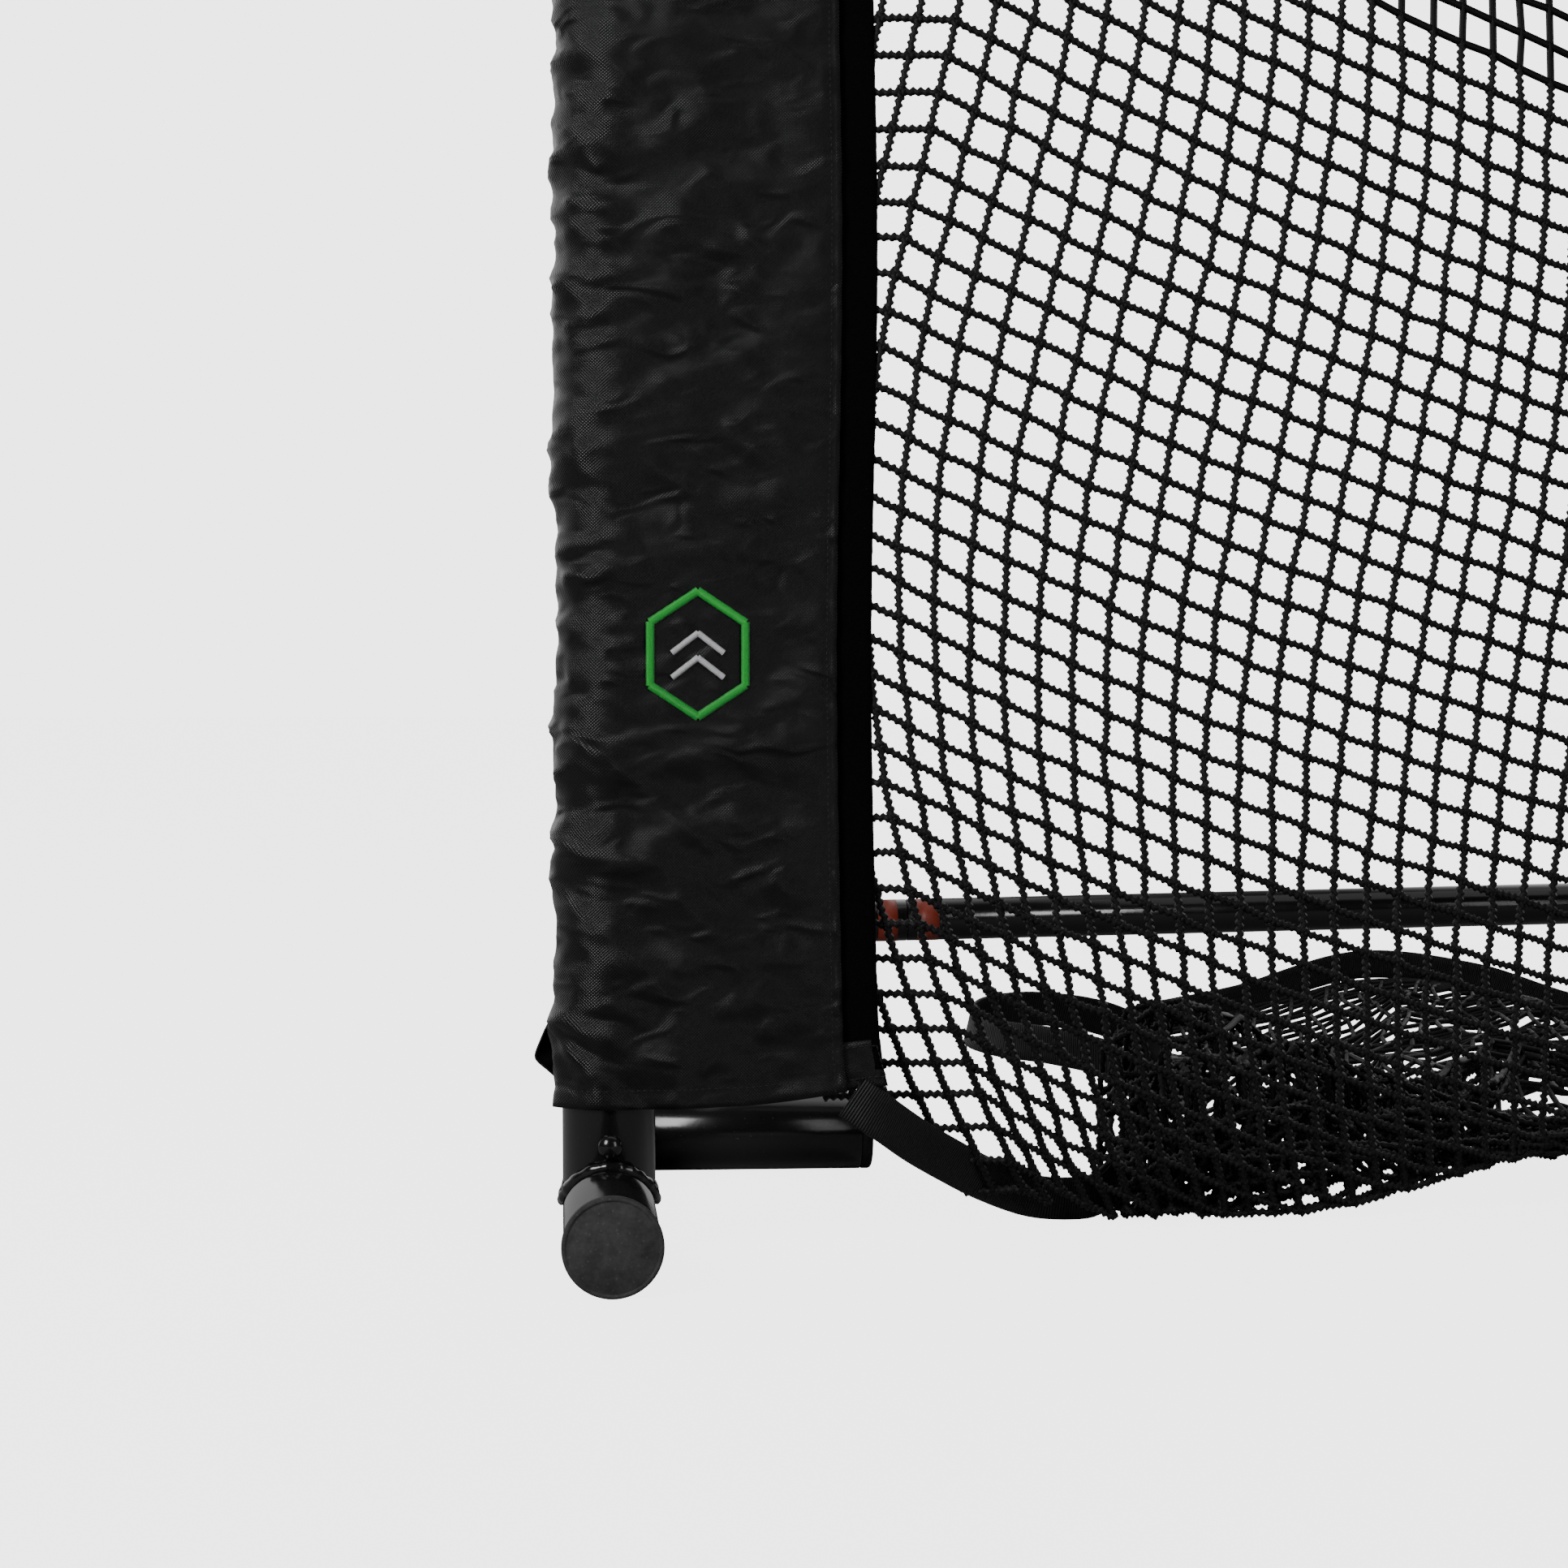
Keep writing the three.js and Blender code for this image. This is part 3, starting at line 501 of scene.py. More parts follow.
def stitches(name, line, normal, length=0.0021, gap=0.0027, radius=0.00022):
    """A row of thread dashes along a line of points."""
    points, faces = [], []
    line = [Vector(p) for p in line]
    distance = [0.0]
    for a, b in zip(line, line[1:]):
        distance.append(distance[-1] + (b - a).length)
    where = 0.0
    while where + length < distance[-1]:
        ends = []
        for target in (where, where + length):
            i = min(max(int(np.searchsorted(distance, target)), 1), len(line) - 1)
            share = (target - distance[i - 1]) / max(distance[i] - distance[i - 1], 1e-9)
            ends.append(line[i - 1].lerp(line[i], share))
        lift = [-0.0001, 0.00014, 0.0002, 0.00014, -0.0001]
        path = [ends[0].lerp(ends[1], k / 4) + normal * lift[k] for k in range(5)]
        ring = swept(path, [0.00008, radius, radius * 1.15, radius, 0.00008], 6)
        first = len(points)
        points += ring
        faces += [tuple(first + i for i in face) for face in rings_to_faces(5, 6)]
        where += gap
    return new_mesh(name, points, faces, thread)


def sleeve(name, node, tape_node, length, place, low_hem, fine=0.5, backed=None):
    """place(inset, depth, along) puts a point of the sleeve in the row frame. backed is the middle, as inset and
    distance along, of a sewn mark whose backing keeps the front flat."""
    outline, tube_side = sleeve_outline(0.0021)
    count = len(outline)
    steps = np.r_[np.arange(0, min(fine, length), 0.0024), np.arange(min(fine, length), length, 0.014), length]
    if fine >= length:
        steps = np.r_[np.arange(0, length, 0.009), length]
    around = np.r_[0, np.cumsum(np.hypot(*np.diff(outline, axis=0).T))]
    half = around[tube_side]
    u, v = np.meshgrid(half - around, steps, indexing="ij")
    out = creased(u, v, length)
    # The seam by the tape holds the cloth flat, and puckers it a little.
    seam_at = np.where(u > 0, half - 0.0032, around[-1] - half - 0.016)
    seam = np.abs(np.abs(u) - seam_at)
    held = np.clip((seam_at + 0.002 - np.abs(u)) / 0.022, 0.0, 1)
    out = out * (0.15 + 0.85 * held)
    if backed:
        away = np.hypot(outline[:, :1] - backed[0], v - backed[1])
        out = out * (1 - 0.9 * np.exp(-((away / 0.031) ** 6)) * (outline[:, 1:] < 0))
    out -= 0.0007 * np.exp(-((seam / 0.0016) ** 2))
    out += 0.0005 * np.sin(v * 2 * pi / 0.021 + 3 * cloth_noise(u, v, 0.05, 5.0)) * np.exp(-np.abs(seam - 0.004) / 0.009)
    if low_hem:
        # Gathers that fan out from a tucked corner low on the tube side.
        for angle, reach, width, height in ((-0.35, 0.05, 0.0030, 0.0026), (-0.62, 0.055, 0.0026, -0.0018),
                                            (-0.82, 0.05, 0.0028, 0.0026), (-1.05, 0.04, 0.0024, -0.0016),
                                            (-1.25, 0.03, 0.0030, 0.0022), (0.35, 0.03, 0.003, 0.0014),
                                            (-0.12, 0.035, 0.003, -0.0012)):
            out += ridge(u, v, (-0.001, 0.040), angle, reach, width, height)
        out += 0.00035 * (1 - smoothstep(0.0062, 0.0082, v))
        out -= 0.00035 * np.exp(-(((v - 0.0074) / 0.0007) ** 2))
    out = np.maximum(out + 0.0006, -0.0006 - 0.0016 * smoothstep(0.03, 0.05, np.abs(u)))
    normal = np.gradient(outline, axis=0)
    normal = np.stack([-normal[:, 1], normal[:, 0]], 1)
    normal /= np.linalg.norm(normal, axis=1, keepdims=True)
    inset = outline[:, :1] + normal[:, :1] * out
    depth = outline[:, 1:] + normal[:, 1:] * out
    inset = inset + 0.0012 * np.sin(v * 19 + 1.3) * np.clip(inset / edge_s, 0, 1) * (1 if low_hem else 0.5)
    along = v.copy()
    if low_hem:
        corner = np.clip((inset - 0.055) / 0.05, 0, 1)
        flare = np.exp(-v / 0.016)
        along = v + 0.0065 * corner**1.5 * np.exp(-v / 0.04) - 0.0018 * np.exp(-v / 0.03)
        inset = inset + 0.0045 * np.clip((inset - 0.08) / 0.03, 0, 1) * flare
    points = [place(*p) for p in zip(inset.ravel(), depth.ravel(), along.ravel())]
    rows = len(steps)
    faces = [
        (i * rows + j, (i + 1) * rows + j, (i + 1) * rows + j + 1, i * rows + j + 1)
        for i in range(count - 1)
        for j in range(rows - 1)
    ]
    piece = new_mesh(name, points, faces, oxford)
    layer = piece.data.uv_layers.new(name="cloth")
    corners = np.empty(len(piece.data.loops), np.int32)
    piece.data.loops.foreach_get("vertex_index", corners)
    layer.data.foreach_set("uv", np.stack([u.ravel()[corners], v.ravel()[corners]], 1).ravel().astype(np.float32))
    thick = piece.modifiers.new("cloth", "SOLIDIFY")
    thick.thickness = 0.0006
    thick.offset = -1
    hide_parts(node)
    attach(piece, "frame")

    # The tape: two strips that grip each other, sewn to the cloth's edges, with a soft pile.
    strip, strip_faces = [], []
    tape_section = [(-0.0004, -1), (0.0006, -1.15), (0.002, -1.3), (0.008, -1.36), (0.0135, -1.3), (0.0157, -1.1),
                    (0.0162, -0.2), (0.0162, 0.2), (0.0157, 1.1), (0.0135, 1.3), (0.008, 1.36), (0.002, 1.3),
                    (0.0006, 1.15), (-0.0004, 1)]
    for j, height in enumerate(steps):
        flare = 0.0045 * exp(-height / 0.016) if low_hem else 0
        sway = 0.0012 * sin(height * 19 + 1.3) * (1 if low_hem else 0.5)
        for across, side in tape_section:
            rough = 0.00022 * noise.noise(Vector((across * 700, height * 500, side * 3)))
            lift = 0.0065 * exp(-height / 0.04) - 0.0018 * exp(-height / 0.03) if low_hem else 0
            lift += (0.009 if low_hem else 0) * exp(-height / 0.004)
            strip.append(place(edge_s - 0.0157 + across + sway + flare + (rough if across > 0.0155 else 0),
                               side * (0.0021 + rough), height + lift))
    width = len(tape_section)
    for j in range(rows - 1):
        for i in range(width - 1):
            a = j * width + i
            strip_faces.append((a, a + 1, a + width + 1, a + width))
    tape = new_mesh(name + "_tape", strip, strip_faces, tape_cloth)
    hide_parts(tape_node)
    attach(tape, "frame")

    # Thread: one row holds the tape, and another turns the lower hem.
    seams = []
    tape_row = min(range(count), key=lambda i: abs(around[i] - 0.0032))
    line = [place(inset[tape_row, j], depth[tape_row, j] - 0.0004, along[tape_row, j]) for j in range(rows)]
    seams.append(stitches(name + "_tape_stitches", line, place(0, -1, 0) - place(0, 0, 0)))
    if low_hem:
        hem_row = int(np.argmin(np.abs(steps - 0.0074)))
        line = [place(inset[i, hem_row], depth[i, hem_row] - 0.0004, along[i, hem_row]) for i in range(8, count // 2)]
        seams.append(stitches(name + "_hem_stitches", line, place(0, -1, 0) - place(0, 0, 0)))
        # The front layer turns over the tape's low end and is sewn there in a small box.
        patch, patch_uv = [], []
        for s in np.linspace(0.0915, 0.1108, 11):
            for low in np.linspace(0.0, 0.021, 13):
                lift = 0.0065 * min(max((s - 0.055) / 0.05, 0), 1) ** 1.5 * exp(-low / 0.04) - 0.0018 * exp(-low / 0.03)
                spread = 0.0045 * min(max((s - 0.08) / 0.03, 0), 1) * exp(-low / 0.016)
                puff = 0.0004 * noise.noise(Vector((s * 210, low * 210, 6.0)))
                edge = 0.0011 * smoothstep(0.105, 0.1108, s)
                patch.append(place(s + spread, -0.0031 + edge + puff, low + lift))
                patch_uv.append((s, low))
        quads = [(i * 13 + j, (i + 1) * 13 + j, (i + 1) * 13 + j + 1, i * 13 + j + 1) for i in range(10) for j in range(12)]
        corner_patch = new_mesh(name + "_corner", patch, quads, oxford)
        patch_layer = corner_patch.data.uv_layers.new(name="cloth")
        for loop in corner_patch.data.loops:
            patch_layer.data[loop.index].uv = patch_uv[loop.vertex_index]
        turned_in = corner_patch.modifiers.new("cloth", "SOLIDIFY")
        turned_in.thickness = 0.0006
        seams.append(corner_patch)
        for number, (start, end) in enumerate((((0.094, 0.0185), (0.109, 0.0185)), ((0.109, 0.0185), (0.1108, 0.0045)),
                                               ((0.1108, 0.0045), (0.094, 0.0045))), 1):
            line = []
            for k in range(9):
                s, low = (a + (b - a) * k / 8 for a, b in zip(start, end))
                lift = 0.0065 * min(max((s - 0.055) / 0.05, 0), 1) ** 1.5 * exp(-low / 0.04) - 0.0018 * exp(-low / 0.03)
                spread = 0.0045 * min(max((s - 0.08) / 0.03, 0), 1) * exp(-low / 0.016)
                line.append(place(s + spread, -0.0036, low + lift))
            seams.append(stitches(f"{name}_corner_stitches_{number}", line, place(0, -1, 0) - place(0, 0, 0)))
    for seam_piece in seams:
        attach(seam_piece, "frame")
    return piece


mark_s, mark_z = 0.036, 0.2485
sleeve_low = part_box("sleeve_left")[0][2] - 0.0015
sleeve_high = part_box("sleeve_left")[1][2]
for hand, side in (("left", -1), ("right", 1)):

    def standing(inset, depth, along, side=side):
        return Vector((side * (-left_x - inset), mouth_y + depth, sleeve_low + along))

    sleeve(f"{hand}_sleeve", f"sleeve_{hand}", f"hook_tape_{hand}", sleeve_high - sleeve_low,
           standing, True, backed=(mark_s, mark_z - sleeve_low) if hand == "left" else None)

top_low, top_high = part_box("sleeve_top")


def hanging_sleeve(inset, depth, along):
    return Vector((top_low[0] + along, mouth_y + depth, top_z - inset))


sleeve("top_sleeve", "sleeve_top", "hook_tape_top", top_high[0] - top_low[0], hanging_sleeve, False, fine=9)

# The left sleeve's back layer ends in a loose corner that sticks out past the tube.
flap_edge = [(-0.0203, 0.1095), (-0.0212, 0.1035), (-0.0262, 0.0955), (-0.0293, 0.0875), (-0.0317, 0.0822),
             (-0.0275, 0.0788), (-0.0240, 0.0760), (-0.0204, 0.0722)]
points, faces = [], []
across = 10
for i, (s, z) in enumerate(flap_edge):
    for j in range(across + 1):
        share = j / across
        inner = Vector((-0.0165, 0.011, 0.1095 - 0.0373 * i / (len(flap_edge) - 1)))
        outer = Vector((s, 0.0045, z))
        point = outer.lerp(inner, share)
        point.y += 0.0012 * sin(share * pi) + 0.0004 * sin(i * 1.9)
        points.append((left_x + point.x, mouth_y + point.y, point.z))
for i in range(len(flap_edge) - 1):
    for j in range(across):
        a = i * (across + 1) + j
        faces.append((a, a + 1, a + across + 2, a + across + 1))
flap = new_mesh("sleeve_corner_flap", points, faces, oxford)
layer = flap.data.uv_layers.new(name="cloth")
for loop in flap.data.loops:
    spot = flap.data.vertices[loop.vertex_index].co
    layer.data[loop.index].uv = (spot.x, spot.z)
rounding = flap.modifiers.new("rounding", "SUBSURF")
rounding.levels = rounding.render_levels = 2
thick = flap.modifiers.new("cloth", "SOLIDIFY")
thick.thickness = 0.0008
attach(flap, "frame")

# ---------------------------------------------------------------------------------------------------------------
# Sewn mark: a plain hexagon outline in green satin stitch with a white chevron in it, on the left sleeve's front.


def satin_stitch(name, path, width, tone, closed):
    """Threads laid side by side across a stroke that follows a path of (inset, height) points."""
    spots = [Vector((a, b)) for a, b in path]
    if closed:
        spots.append(spots[0])
    points, faces = [], []
    for start, end in zip(spots, spots[1:]):
        run = (end - start).length
        ahead = (end - start) / run
        square = Vector((-ahead.y, ahead.x))
        count = int(run / 0.00036)
        for i in range(count + 1):
            spot = start + ahead * (run * i / count)
            half = width / 2 * (1 + 0.06 * noise.noise(Vector((spot.x * 900, spot.y * 900, 2.0))))
            rows = []
            for k in range(6):
                share = k / 5 * 2 - 1
                flat = spot + square * share * half
                front = -sleeve_r + (sleeve_r - edge_y) * max(flat.x - 0.004, 0) / 0.105
                rise = 0.0016 + 0.00075 * sqrt(max(1 - share**2, 0))
                rows.append(Vector((left_x + flat.x, mouth_y + front - rise, flat.y)))
            ring = swept(rows, [0.00012, 0.0002, 0.00021, 0.00021, 0.0002, 0.00012], 5)
            first = len(points)
            points += ring
            faces += [tuple(first + i for i in face) for face in rings_to_faces(6, 5)]
    made, shader = material(name + "_thread", 0.38, (*tone, 1))
    sheen = add_node(made, "ShaderNodeTexNoise", [("Vector", object_place(made))], Scale=1600.0, Detail=1.0)
    ramp = mixed(made, sheen.outputs["Fac"], [c * 0.65 for c in tone], [min(c * 1.2, 1) for c in tone])
    made.node_tree.links.new(ramp.outputs["Color"], shader.inputs["Base Color"])
    shader.inputs["Sheen Weight"].default_value = 0.3
    piece = new_mesh(name, points, faces, made)
    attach(piece, "frame")
    return piece


hexagon = [(mark_s + 0.0225 * sin(radians(60 * i)), mark_z + 0.0255 * cos(radians(60 * i))) for i in range(6)]
satin_stitch("sewn_hexagon", hexagon, 0.0034, (0.001, 0.42, 0.03), True)
for number, lift in enumerate((0.0045, -0.0055), 1):
    chevron = [(mark_s - 0.0105, mark_z + lift - 0.004), (mark_s, mark_z + lift + 0.004),
               (mark_s + 0.0105, mark_z + lift - 0.004)]
    satin_stitch(f"sewn_chevron_{number}", chevron, 0.0024, (0.62, 0.62, 0.64), False)

# ---------------------------------------------------------------------------------------------------------------
# Net: one piece of knotless netting, knitted from black twine 3.1 mm thick in square meshes of about 16 mm. It
# hangs from the sleeves, bellies back, folds on the floor and lies there as a skirt. Near the left foot each bar
# shows its knit; further off the bars are plain.
twine, shader = material("black_knit_twine", 0.55)
shader.inputs["Specular IOR Level"].default_value = 0.2
strand = add_node(twine, "ShaderNodeTexNoise", [("Vector", object_place(twine))], Scale=1100.0, Detail=3.0)
tone = mixed(twine, strand.outputs["Fac"], (0.0022, 0.0022, 0.0024), (0.012, 0.012, 0.0125))
tone.color_ramp.elements[0].position = 0.35
tone.color_ramp.elements[1].position = 0.7
twine.node_tree.links.new(tone.outputs["Color"], shader.inputs["Base Color"])
relief = add_node(twine, "ShaderNodeBump", [("Height", strand.outputs["Fac"])], Strength=0.6, Distance=0.0004)
twine.node_tree.links.new(relief.outputs["Normal"], shader.inputs["Normal"])

far_twine, shader = material("black_twine_far", 0.6, (0.005, 0.005, 0.0055, 1))
shader.inputs["Specular IOR Level"].default_value = 0.15

columns, top_row, hem_row = 94, 151, -72
net_edge = 0.105
half_span = -left_x


def slack(share):
    return 1 - (1 - share) ** 3


def fold_height(column):
    wave = 0.006 * np.sin(column * 0.21) * smoothstep(22, 40, column)
    return 0.004 + 0.022 * smoothstep(12, 22, column) + wave


def fold_row(column):
    return (fold_height(column) - 0.062 + 0.226 * slack(np.clip(column / columns, 0, 1))) / 0.0149


def hang(column, row):
    """Where a crossing of the hanging net is, as inset, depth and height."""
    share = np.clip(column / columns, 0, 1)
    deep = 1 - (np.clip(row, 0, None) / top_row) ** 2
    height = 0.062 + 0.0149 * row - 0.226 * deep * slack(share)
    turn = np.maximum(15.5 - 0.22 * column, 11)
    off = row - turn
    drift = np.where(off < 0, 0.00022 * off**2, 0.00026 * off**2 * np.exp(-((off / 24) ** 2)))
    inset = net_edge + (half_span - net_edge) / columns * column + drift * (1 - share) ** 2
    bulge = 0.35 * (1 - (1 - share) ** 2) + 0.65 * np.sin(pi / 2 * share) ** 2
    near = np.clip(column, 0, None)
    lean = (0.028 + 0.034 * np.exp(-near / 9)) * np.clip(1 - height / 0.2, 0, 1) ** 2
    return np.stack([inset, 0.3 * deep * bulge + lean, height], -1)


def ripple(points, scale, seed):
    flat = points.reshape(-1, 3)
    out = np.array([noise.noise_vector(Vector((p[0] / scale, p[1] / scale, seed))) for p in flat])
    return out.reshape(points.shape)


def lie(column, row):
    """Where a crossing of the skirt is. Its first row is at the fold and its last one at the hem. Behind the fold it
    is heaped in five uneven pleats, highest near the foot, and then it runs out to the hem."""
    share = np.clip((fold_row(column) - row) / (fold_row(column) - hem_row), 0, 1)
    part = (column - 5) / (columns - 5)
    near = hang(column, fold_row(column))
    inset = near[..., 0] + (0.36 + (half_span - 0.36) * part - near[..., 0]) * share**1.3
    inset = inset - 0.036 * np.exp(-part / 0.08) * np.sin(pi * np.clip(share / 0.6, 0, 1))
    heaped = np.clip(share / 0.52, 0, 1)
    reach = near[..., 1] + 0.16 + 0.16 * smoothstep(0.28, 0.5, inset)
    depth = near[..., 1] + (reach - near[..., 1]) * heaped**1.4 + (0.79 - reach) * np.clip((share - 0.52) / 0.48, 0, 1)
    crest = (0.022 + 0.050 * np.exp(-(((inset - 0.265) / 0.09) ** 2))) * (0.4 + 0.6 * smoothstep(0.1, 0.7, heaped))
    sway = 0.9 * np.sin(inset * 31 + 0.7) + 0.5 * np.sin(inset * 73)
    pleat = (0.5 - 0.5 * np.cos(2 * pi * 5 * heaped + sway * np.sin(pi * heaped))) * (1 - smoothstep(0.5, 0.62, share))
    wave = 0.0145 * smoothstep(0.45, 1, share) * (1 + np.cos((inset - 0.545) * 2 * pi / 0.34))
    height = fold_height(column) * (1 - share) + 0.008 * share + crest * pleat * smoothstep(0, 0.06, share) + wave
    made = np.stack([inset, depth, height], -1)
    made[..., 1] += 0.018 * np.sin(2 * pi * 5 * heaped + sway) * smoothstep(0, 0.1, share) * (1 - smoothstep(0.45, 0.6, share))
    wild = smoothstep(0.0, 0.12, share)[..., None] * (1 - 0.9 * smoothstep(0.85, 1, share)[..., None])
    made = made + wild * ripple(made, 0.09, 4.0) * np.array([0.020, 0.03, 0.018])
    made = made + wild * ripple(made, 0.035, 8.0) * np.array([0.010, 0.012, 0.010])
    made[..., 2] = np.maximum(made[..., 2], 0.003)
    return made


first_column = -8
column, row = np.meshgrid(np.arange(first_column, columns + 1), np.arange(hem_row, top_row + 1), indexing="ij")
down = row < fold_row(column)
crossings = np.where(down[..., None], lie(np.maximum(column, 5), row), hang(column, row))
jitter = np.random.default_rng(7).normal(0, 0.00045, crossings.shape)
jitter[(column < 0) | (column == columns)] = 0
crossings = crossings + jitter
strap_height = 0.062 - (crossings[..., 0] - 0.108) * 0.68
kept = np.where(down, column >= 5, (crossings[..., 2] > strap_height - 0.016) | (crossings[..., 0] > 0.2))
kept &= (column >= 0) | ((crossings[..., 0] > 0.086) & ~down)
kept &= ~(down & (crossings[..., 1] < 0.06))


def bars(starts, ends, radius, sides, rings, knit):
    """Twine between crossings. knit bars have the stitches' herringbone relief and swell where they cross."""
    run = ends - starts
    length = np.linalg.norm(run, axis=1, keepdims=True)
    ahead = run / length
    across = np.cross(ahead, np.array([0.13, -0.97, 0.2]))
    across /= np.linalg.norm(across, axis=1, keepdims=True)
    over = np.cross(ahead, across)
    share = np.linspace(-0.04, 1.04, rings)[None, :, None]
    angle = (np.arange(sides) * 2 * pi / sides)[None, None, :]
    if knit:
        turns = np.maximum(np.round(length / 0.0031), 2)[:, :, None]
        lean = np.abs((angle + pi / 3) % (2 * pi) - pi)
        size = 1 + 0.26 * np.cos(2 * pi * turns * share + 2.0 * lean)
        close = np.minimum(share, 1 - share) * length[:, :, None]
        size = size * (1 + 0.3 * np.exp(-((close / 0.0022) ** 2)))
        tips = np.clip((close + 0.0009) / 0.0012, 0.12, 1)
        size = size * tips
        bow = np.sin(pi * np.clip(share, 0, 1)) * 0.0005 * np.sin(starts[:, :1] * 900 + starts[:, 2:] * 700)[:, :, None]
        bow = bow + 0.00028 * np.sin(2 * pi * turns * share + 0.6)
    else:
        size = np.ones((len(starts), rings, sides))
        bow = np.zeros((len(starts), rings, 1))
    size = np.broadcast_to(size, (len(starts), rings, sides)) * radius
    centre = starts[:, None, :] + run[:, None, :] * share + across[:, None, :] * bow
    ring = across[:, None, None, :] * np.cos(angle)[..., None] + over[:, None, None, :] * np.sin(angle)[..., None]
    points = centre[:, :, None, :] + ring * size[..., None]
    i, j, k = np.meshgrid(np.arange(len(starts)), np.arange(rings - 1), np.arange(sides), indexing="ij")
    here = (i * rings + j) * sides
    there = here + sides
    after = (k + 1) % sides
    quads = np.stack([here + k, here + after, there + after, there + k], -1).reshape(-1, 4)
    return points.reshape(-1, 3), quads


def net_piece(name, groups, side, made):
    """groups are (starts, ends, radius, sides, rings, knit)."""
    all_points, all_faces, count = [], [], 0
    for group in groups:
        points, quads = bars(*group)
        all_points.append(points)
        all_faces.append(quads + count)
        count += len(points)
    points, quads = np.concatenate(all_points), np.concatenate(all_faces)
    points = np.stack([side * (half_span - points[:, 0]), mouth_y + points[:, 1], points[:, 2]], 1)
    if side > 0:
        quads = quads[:, ::-1]
    mesh = bpy.data.meshes.new(name)
    mesh.vertices.add(len(points))
    mesh.vertices.foreach_set("co", points.astype(np.float32).ravel())
    mesh.loops.add(quads.size)
    mesh.loops.foreach_set("vertex_index", quads.astype(np.int32).ravel())
    mesh.polygons.add(len(quads))
    mesh.polygons.foreach_set("loop_start", np.arange(0, quads.size, 4, dtype=np.int32))
    mesh.update(calc_edges=True)
    mesh.validate()
    mesh.shade_smooth()
    mesh.materials.append(made)
    piece = bpy.data.objects.new(name, mesh)
    bpy.context.scene.collection.objects.link(piece)
    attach(piece, "frame")
    return piece


starts, ends, where = [], [], []
for di, dj in ((1, 0), (0, 1)):
    a = (slice(None, -1 if di else None), slice(None, -1 if dj else None))
    b = (slice(di, None), slice(dj, None))
    both = kept[a] & kept[b]
    starts.append(crossings[a][both])
    ends.append(crossings[b][both])
    where.append(np.stack([column[a][both], row[a][both], down[a][both]], 1))
starts, ends, where = np.concatenate(starts), np.concatenate(ends), np.concatenate(where)
sane = np.linalg.norm(ends - starts, axis=1) < 0.06
starts, ends, where = starts[sane], ends[sane], where[sane]

lying = where[:, 2] == 1
close = (where[:, 0] <= 25) & (where[:, 1] <= 35) & ~lying
quarter = np.digitize(where[:, 1], [7, 17, 27])
for number in range(4):
    chosen = close & (quarter == number)
    group = (starts[chosen], ends[chosen], 0.00155, 7, 22, True)
    net_piece(f"net_near_{number + 1}", [group], -1, twine)
heap = lying & (where[:, 0] <= 21) & (where[:, 1] > -40)
for number in range(3):
    chosen = heap & (np.digitize(where[:, 1], [-26, -12]) == number)
    group = (starts[chosen], ends[chosen], 0.00155, 6, 14, True)
    net_piece(f"net_heap_{number + 1}", [group], -1, twine)
floor_near = lying & (where[:, 0] <= 50) & ~heap
for number in range(2):
    chosen = floor_near & ((where[:, 1] < -30) == bool(number))
    group = (starts[chosen], ends[chosen], 0.0016, 5, 5, False)
    net_piece(f"net_skirt_near_{number + 1}", [group], -1, twine)
rest = ~close & ~floor_near & ~heap
for name, chosen, side in (
    ("net_hanging_left", rest & ~lying, -1),
    ("net_hanging_right", ~lying, 1),
    ("net_skirt_left", rest & lying, -1),
    ("net_skirt_right", lying, 1),
):
    group = (starts[chosen], ends[chosen], 0.00185, 3, 2, False)
    net_piece(name, [group], side, far_twine)
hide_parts("net_left", "net_middle", "net_right", "net_skirt")


# ---------------------------------------------------------------------------------------------------------------
# Hem: 19 mm nylon webbing sewn round the skirt. It comes out from under each sleeve, drops to the floor on edge,
# turns back there and runs round the skirt in loose waves.
webbing, shader = material("black_webbing", 0.5)
shader.inputs["Specular IOR Level"].default_value = 0.25
web_map = add_node(webbing, "ShaderNodeUVMap", uv_map="cloth")
parts = add_node(webbing, "ShaderNodeSeparateXYZ", [("Vector", web_map.outputs["UV"])])
turns = add_node(webbing, "ShaderNodeMath", [(0, parts.outputs["X"])], operation="MULTIPLY")
turns.inputs[1].default_value = 2 * pi / 0.0013
ribs = add_node(webbing, "ShaderNodeMath", [(0, turns.outputs[0])], operation="SINE")
shade = add_node(webbing, "ShaderNodeMapRange", [("Value", ribs.outputs[0])], From_Min=-1.0, From_Max=1.0)
tone = mixed(webbing, shade.outputs["Result"], (0.0025, 0.0025, 0.0025), (0.015, 0.015, 0.0155))
webbing.node_tree.links.new(tone.outputs["Color"], shader.inputs["Base Color"])
relief = add_node(webbing, "ShaderNodeBump", [("Height", ribs.outputs[0])], Strength=0.6, Distance=0.0003)
webbing.node_tree.links.new(relief.outputs["Normal"], shader.inputs["Normal"])


def spline(knots, step):
    """Points about a step apart on a smooth curve through knots of any size."""
    out = []
    knots = [np.array(k, float) for k in knots]
    padded = [2 * knots[0] - knots[1], *knots, 2 * knots[-1] - knots[-2]]
    for p0, p1, p2, p3 in zip(padded, padded[1:], padded[2:], padded[3:]):
        count = max(int(np.linalg.norm((p2 - p1)[:3]) / step), 1)
        for i in range(count):
            t = i / count
            out.append(0.5 * (2 * p1 + (p2 - p0) * t + (2 * p0 - 5 * p1 + 4 * p2 - p3) * t**2
                              + (3 * p1 - 3 * p2 + p3 - p0) * t**3))
    out.append(knots[-1])
    return out


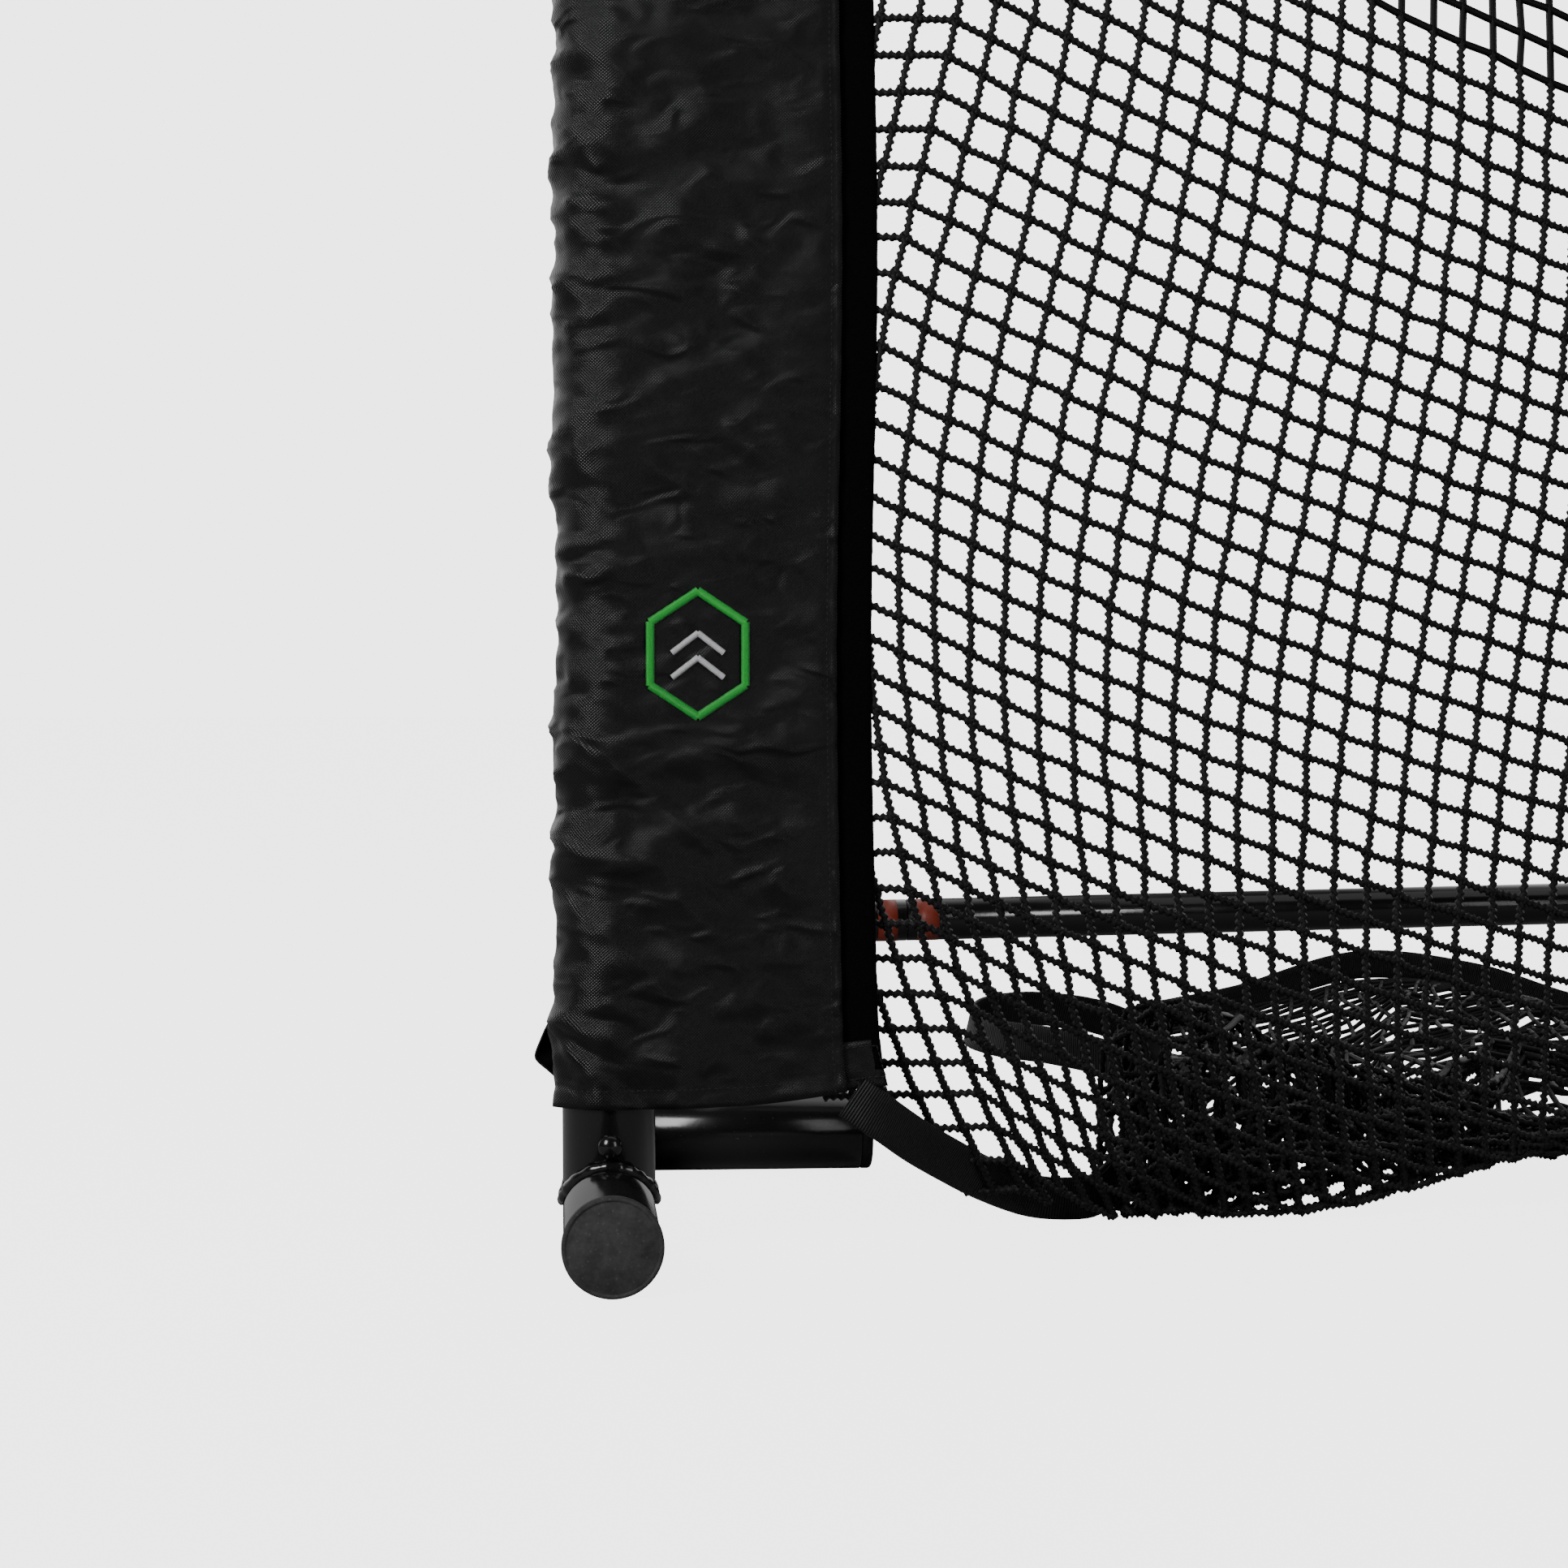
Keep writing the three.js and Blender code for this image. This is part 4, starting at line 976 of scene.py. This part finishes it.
# Each knot is inset, depth and height of the webbing's middle, then how far its top leans back, in degrees.
hem_knots = [(0.100, -0.004, 0.066, 5), (0.112, 0.000, 0.0575, 8), (0.128, 0.017, 0.045, 15), (0.144, 0.035, 0.034, 20),
             (0.164, 0.052, 0.022, 18), (0.186, 0.066, 0.0125, 12), (0.205, 0.074, 0.0098, 4), (0.218, 0.084, 0.0102, -6),
             (0.232, 0.112, 0.014, -14), (0.250, 0.150, 0.026, -16), (0.262, 0.200, 0.040, -12),
             (0.258, 0.250, 0.048, -6), (0.232, 0.290, 0.052, 2), (0.208, 0.318, 0.053, 8),
             (0.196, 0.345, 0.056, 12), (0.206, 0.374, 0.060, 14),
             (0.236, 0.392, 0.061, 14), (0.274, 0.404, 0.055, 12), (0.308, 0.428, 0.040, 10), (0.328, 0.480, 0.024, 6),
             (0.336, 0.570, 0.014, 2), (0.344, 0.670, 0.013, 0), (0.358, 0.752, 0.014, 0)]
for i in range(1, 15):
    inset = 0.36 + (half_span - 0.36) * i / 14
    hem_knots.append((inset, 0.795, 0.0125 + 0.018 * (1 + cos((inset - 0.545) * 2 * pi / 0.34)), 0))
for hand, side in (("left", -1), ("right", 1)):
    line = spline(hem_knots, 0.004)
    points, faces, cloth = [], [], []
    travelled = 0.0
    across = [(-1, 0), (-1, 0.55), (-0.93, 1), (-0.5, 0.86), (0, 0.8), (0.5, 0.86), (0.93, 1), (1, 0.55), (1, 0)]
    outline = across + [(a, -b) for a, b in reversed(across[1:-1])]
    for i, spot in enumerate(line):
        ahead = line[min(i + 1, len(line) - 1)][:3] - line[max(i - 1, 0)][:3]
        ahead = Vector(ahead).normalized()
        thick = ahead.cross(Vector((0, 0, 1))).normalized()
        lean = radians(spot[3])
        wide = (thick.cross(ahead)).normalized()
        wide = (wide * cos(lean) + thick * sin(lean)).normalized()
        thick = ahead.cross(wide).normalized()
        if i:
            travelled += float(np.linalg.norm(spot[:3] - line[i - 1][:3]))
        for a, b in outline:
            point = Vector(spot[:3]) + wide * a * 0.0095 + thick * b * 0.0008
            points.append((side * (half_span - point.x), mouth_y + point.y, point.z))
            cloth.append((travelled, a * 0.0095))
    count = len(outline)
    faces = rings_to_faces(len(line), count)
    if side > 0:
        faces = [face[::-1] for face in faces]
    hem = new_mesh(f"hem_{hand}", points, faces, webbing)
    layer = hem.data.uv_layers.new(name="cloth")
    for loop in hem.data.loops:
        layer.data[loop.index].uv = cloth[loop.vertex_index]
    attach(hem, "frame")
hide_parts("webbing_hem")
for hand, side in (("left", -1), ("right", 1)):
    line = spline(hem_knots[:9], 0.004)
    row = [Vector((side * (half_span - p[0]), mouth_y + p[1] - 0.0009, p[2] + 0.0075)) for p in line]
    thread_row = stitches(f"hem_stitches_{hand}", row, Vector((0, -1, 0)))
    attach(thread_row, "frame")

# ---------------------------------------------------------------------------------------------------------------
# Stage: a plain pale floor that runs out to a pale surround, a large soft light over the left shoulder, a fainter
# one on the right and one overhead.
bpy.ops.mesh.primitive_plane_add(size=60, location=(0, 0, -0.0004))
floor = bpy.context.object
floor.name = "floor"
floor_white, shader = material("floor_white", 0.9, (0.32, 0.32, 0.32, 1))
shader.inputs["Specular IOR Level"].default_value = 0.0
rays = add_node(floor_white, "ShaderNodeLightPath")
seen = add_node(floor_white, "ShaderNodeMapRange", [("Value", rays.outputs["Is Camera Ray"])], To_Min=0.0, To_Max=3.4)
floor_white.node_tree.links.new(seen.outputs["Result"], shader.inputs["Emission Strength"])
shader.inputs["Emission Color"].default_value = (1, 1, 1, 1)
floor.data.materials.append(floor_white)

for name, place, aim, size, power in (
    ("light_left", (left_x - 1.25, mouth_y - 1.75, 1.45), (left_x, mouth_y, 0.3), (0.8, 1.1), 50),
    ("light_right", (left_x + 1.7, mouth_y - 1.9, 0.9), (left_x, mouth_y, 0.2), (0.7, 1.4), 12),
    ("light_top", (0, -0.4, 4.6), (0, 0, 0), (5, 4), 45),
):
    glow = bpy.data.lights.new(name, "AREA")
    glow.shape = "RECTANGLE"
    glow.size, glow.size_y = size
    glow.energy = power
    lamp = bpy.data.objects.new(name, glow)
    lamp.location = place
    lamp.rotation_euler = (Vector(aim) - Vector(place)).to_track_quat("-Z", "Y").to_euler()
    bpy.context.scene.collection.objects.link(lamp)

surround = bpy.data.worlds.new("surround")
bpy.context.scene.world = surround
surround.use_nodes = True
tree = surround.node_tree
sky = tree.nodes["Background"]
facing = tree.nodes.new("ShaderNodeTexCoord")
split = tree.nodes.new("ShaderNodeSeparateXYZ")
tree.links.new(facing.outputs["Generated"], split.inputs["Vector"])
room = tree.nodes.new("ShaderNodeMapRange")
room.inputs["From Min"].default_value = 0.0
room.inputs["From Max"].default_value = 0.7
room.inputs["To Min"].default_value = 0.045
room.inputs["To Max"].default_value = 1.7
tree.links.new(split.outputs["Y"], room.inputs["Value"])
sideways = tree.nodes.new("ShaderNodeMath")
sideways.operation = "ABSOLUTE"
tree.links.new(split.outputs["X"], sideways.inputs[0])
panels = tree.nodes.new("ShaderNodeMapRange")
panels.inputs["From Min"].default_value = 0.08
panels.inputs["From Max"].default_value = 0.3
panels.inputs["To Min"].default_value = 0.12
tree.links.new(sideways.outputs[0], panels.inputs["Value"])
glow_level = tree.nodes.new("ShaderNodeMath")
glow_level.operation = "MULTIPLY"
tree.links.new(room.outputs["Result"], glow_level.inputs[0])
tree.links.new(panels.outputs["Result"], glow_level.inputs[1])
tree.links.new(glow_level.outputs[0], sky.inputs["Color"])
plain = tree.nodes.new("ShaderNodeBackground")
plain.inputs["Color"].default_value = (1, 1, 1, 1)
plain.inputs["Strength"].default_value = 3.6
rays = tree.nodes.new("ShaderNodeLightPath")
either = tree.nodes.new("ShaderNodeMixShader")
tree.links.new(rays.outputs["Is Camera Ray"], either.inputs["Fac"])
tree.links.new(sky.outputs["Background"], either.inputs[1])
tree.links.new(plain.outputs["Background"], either.inputs[2])
tree.links.new(either.outputs["Shader"], tree.nodes["World Output"].inputs["Surface"])
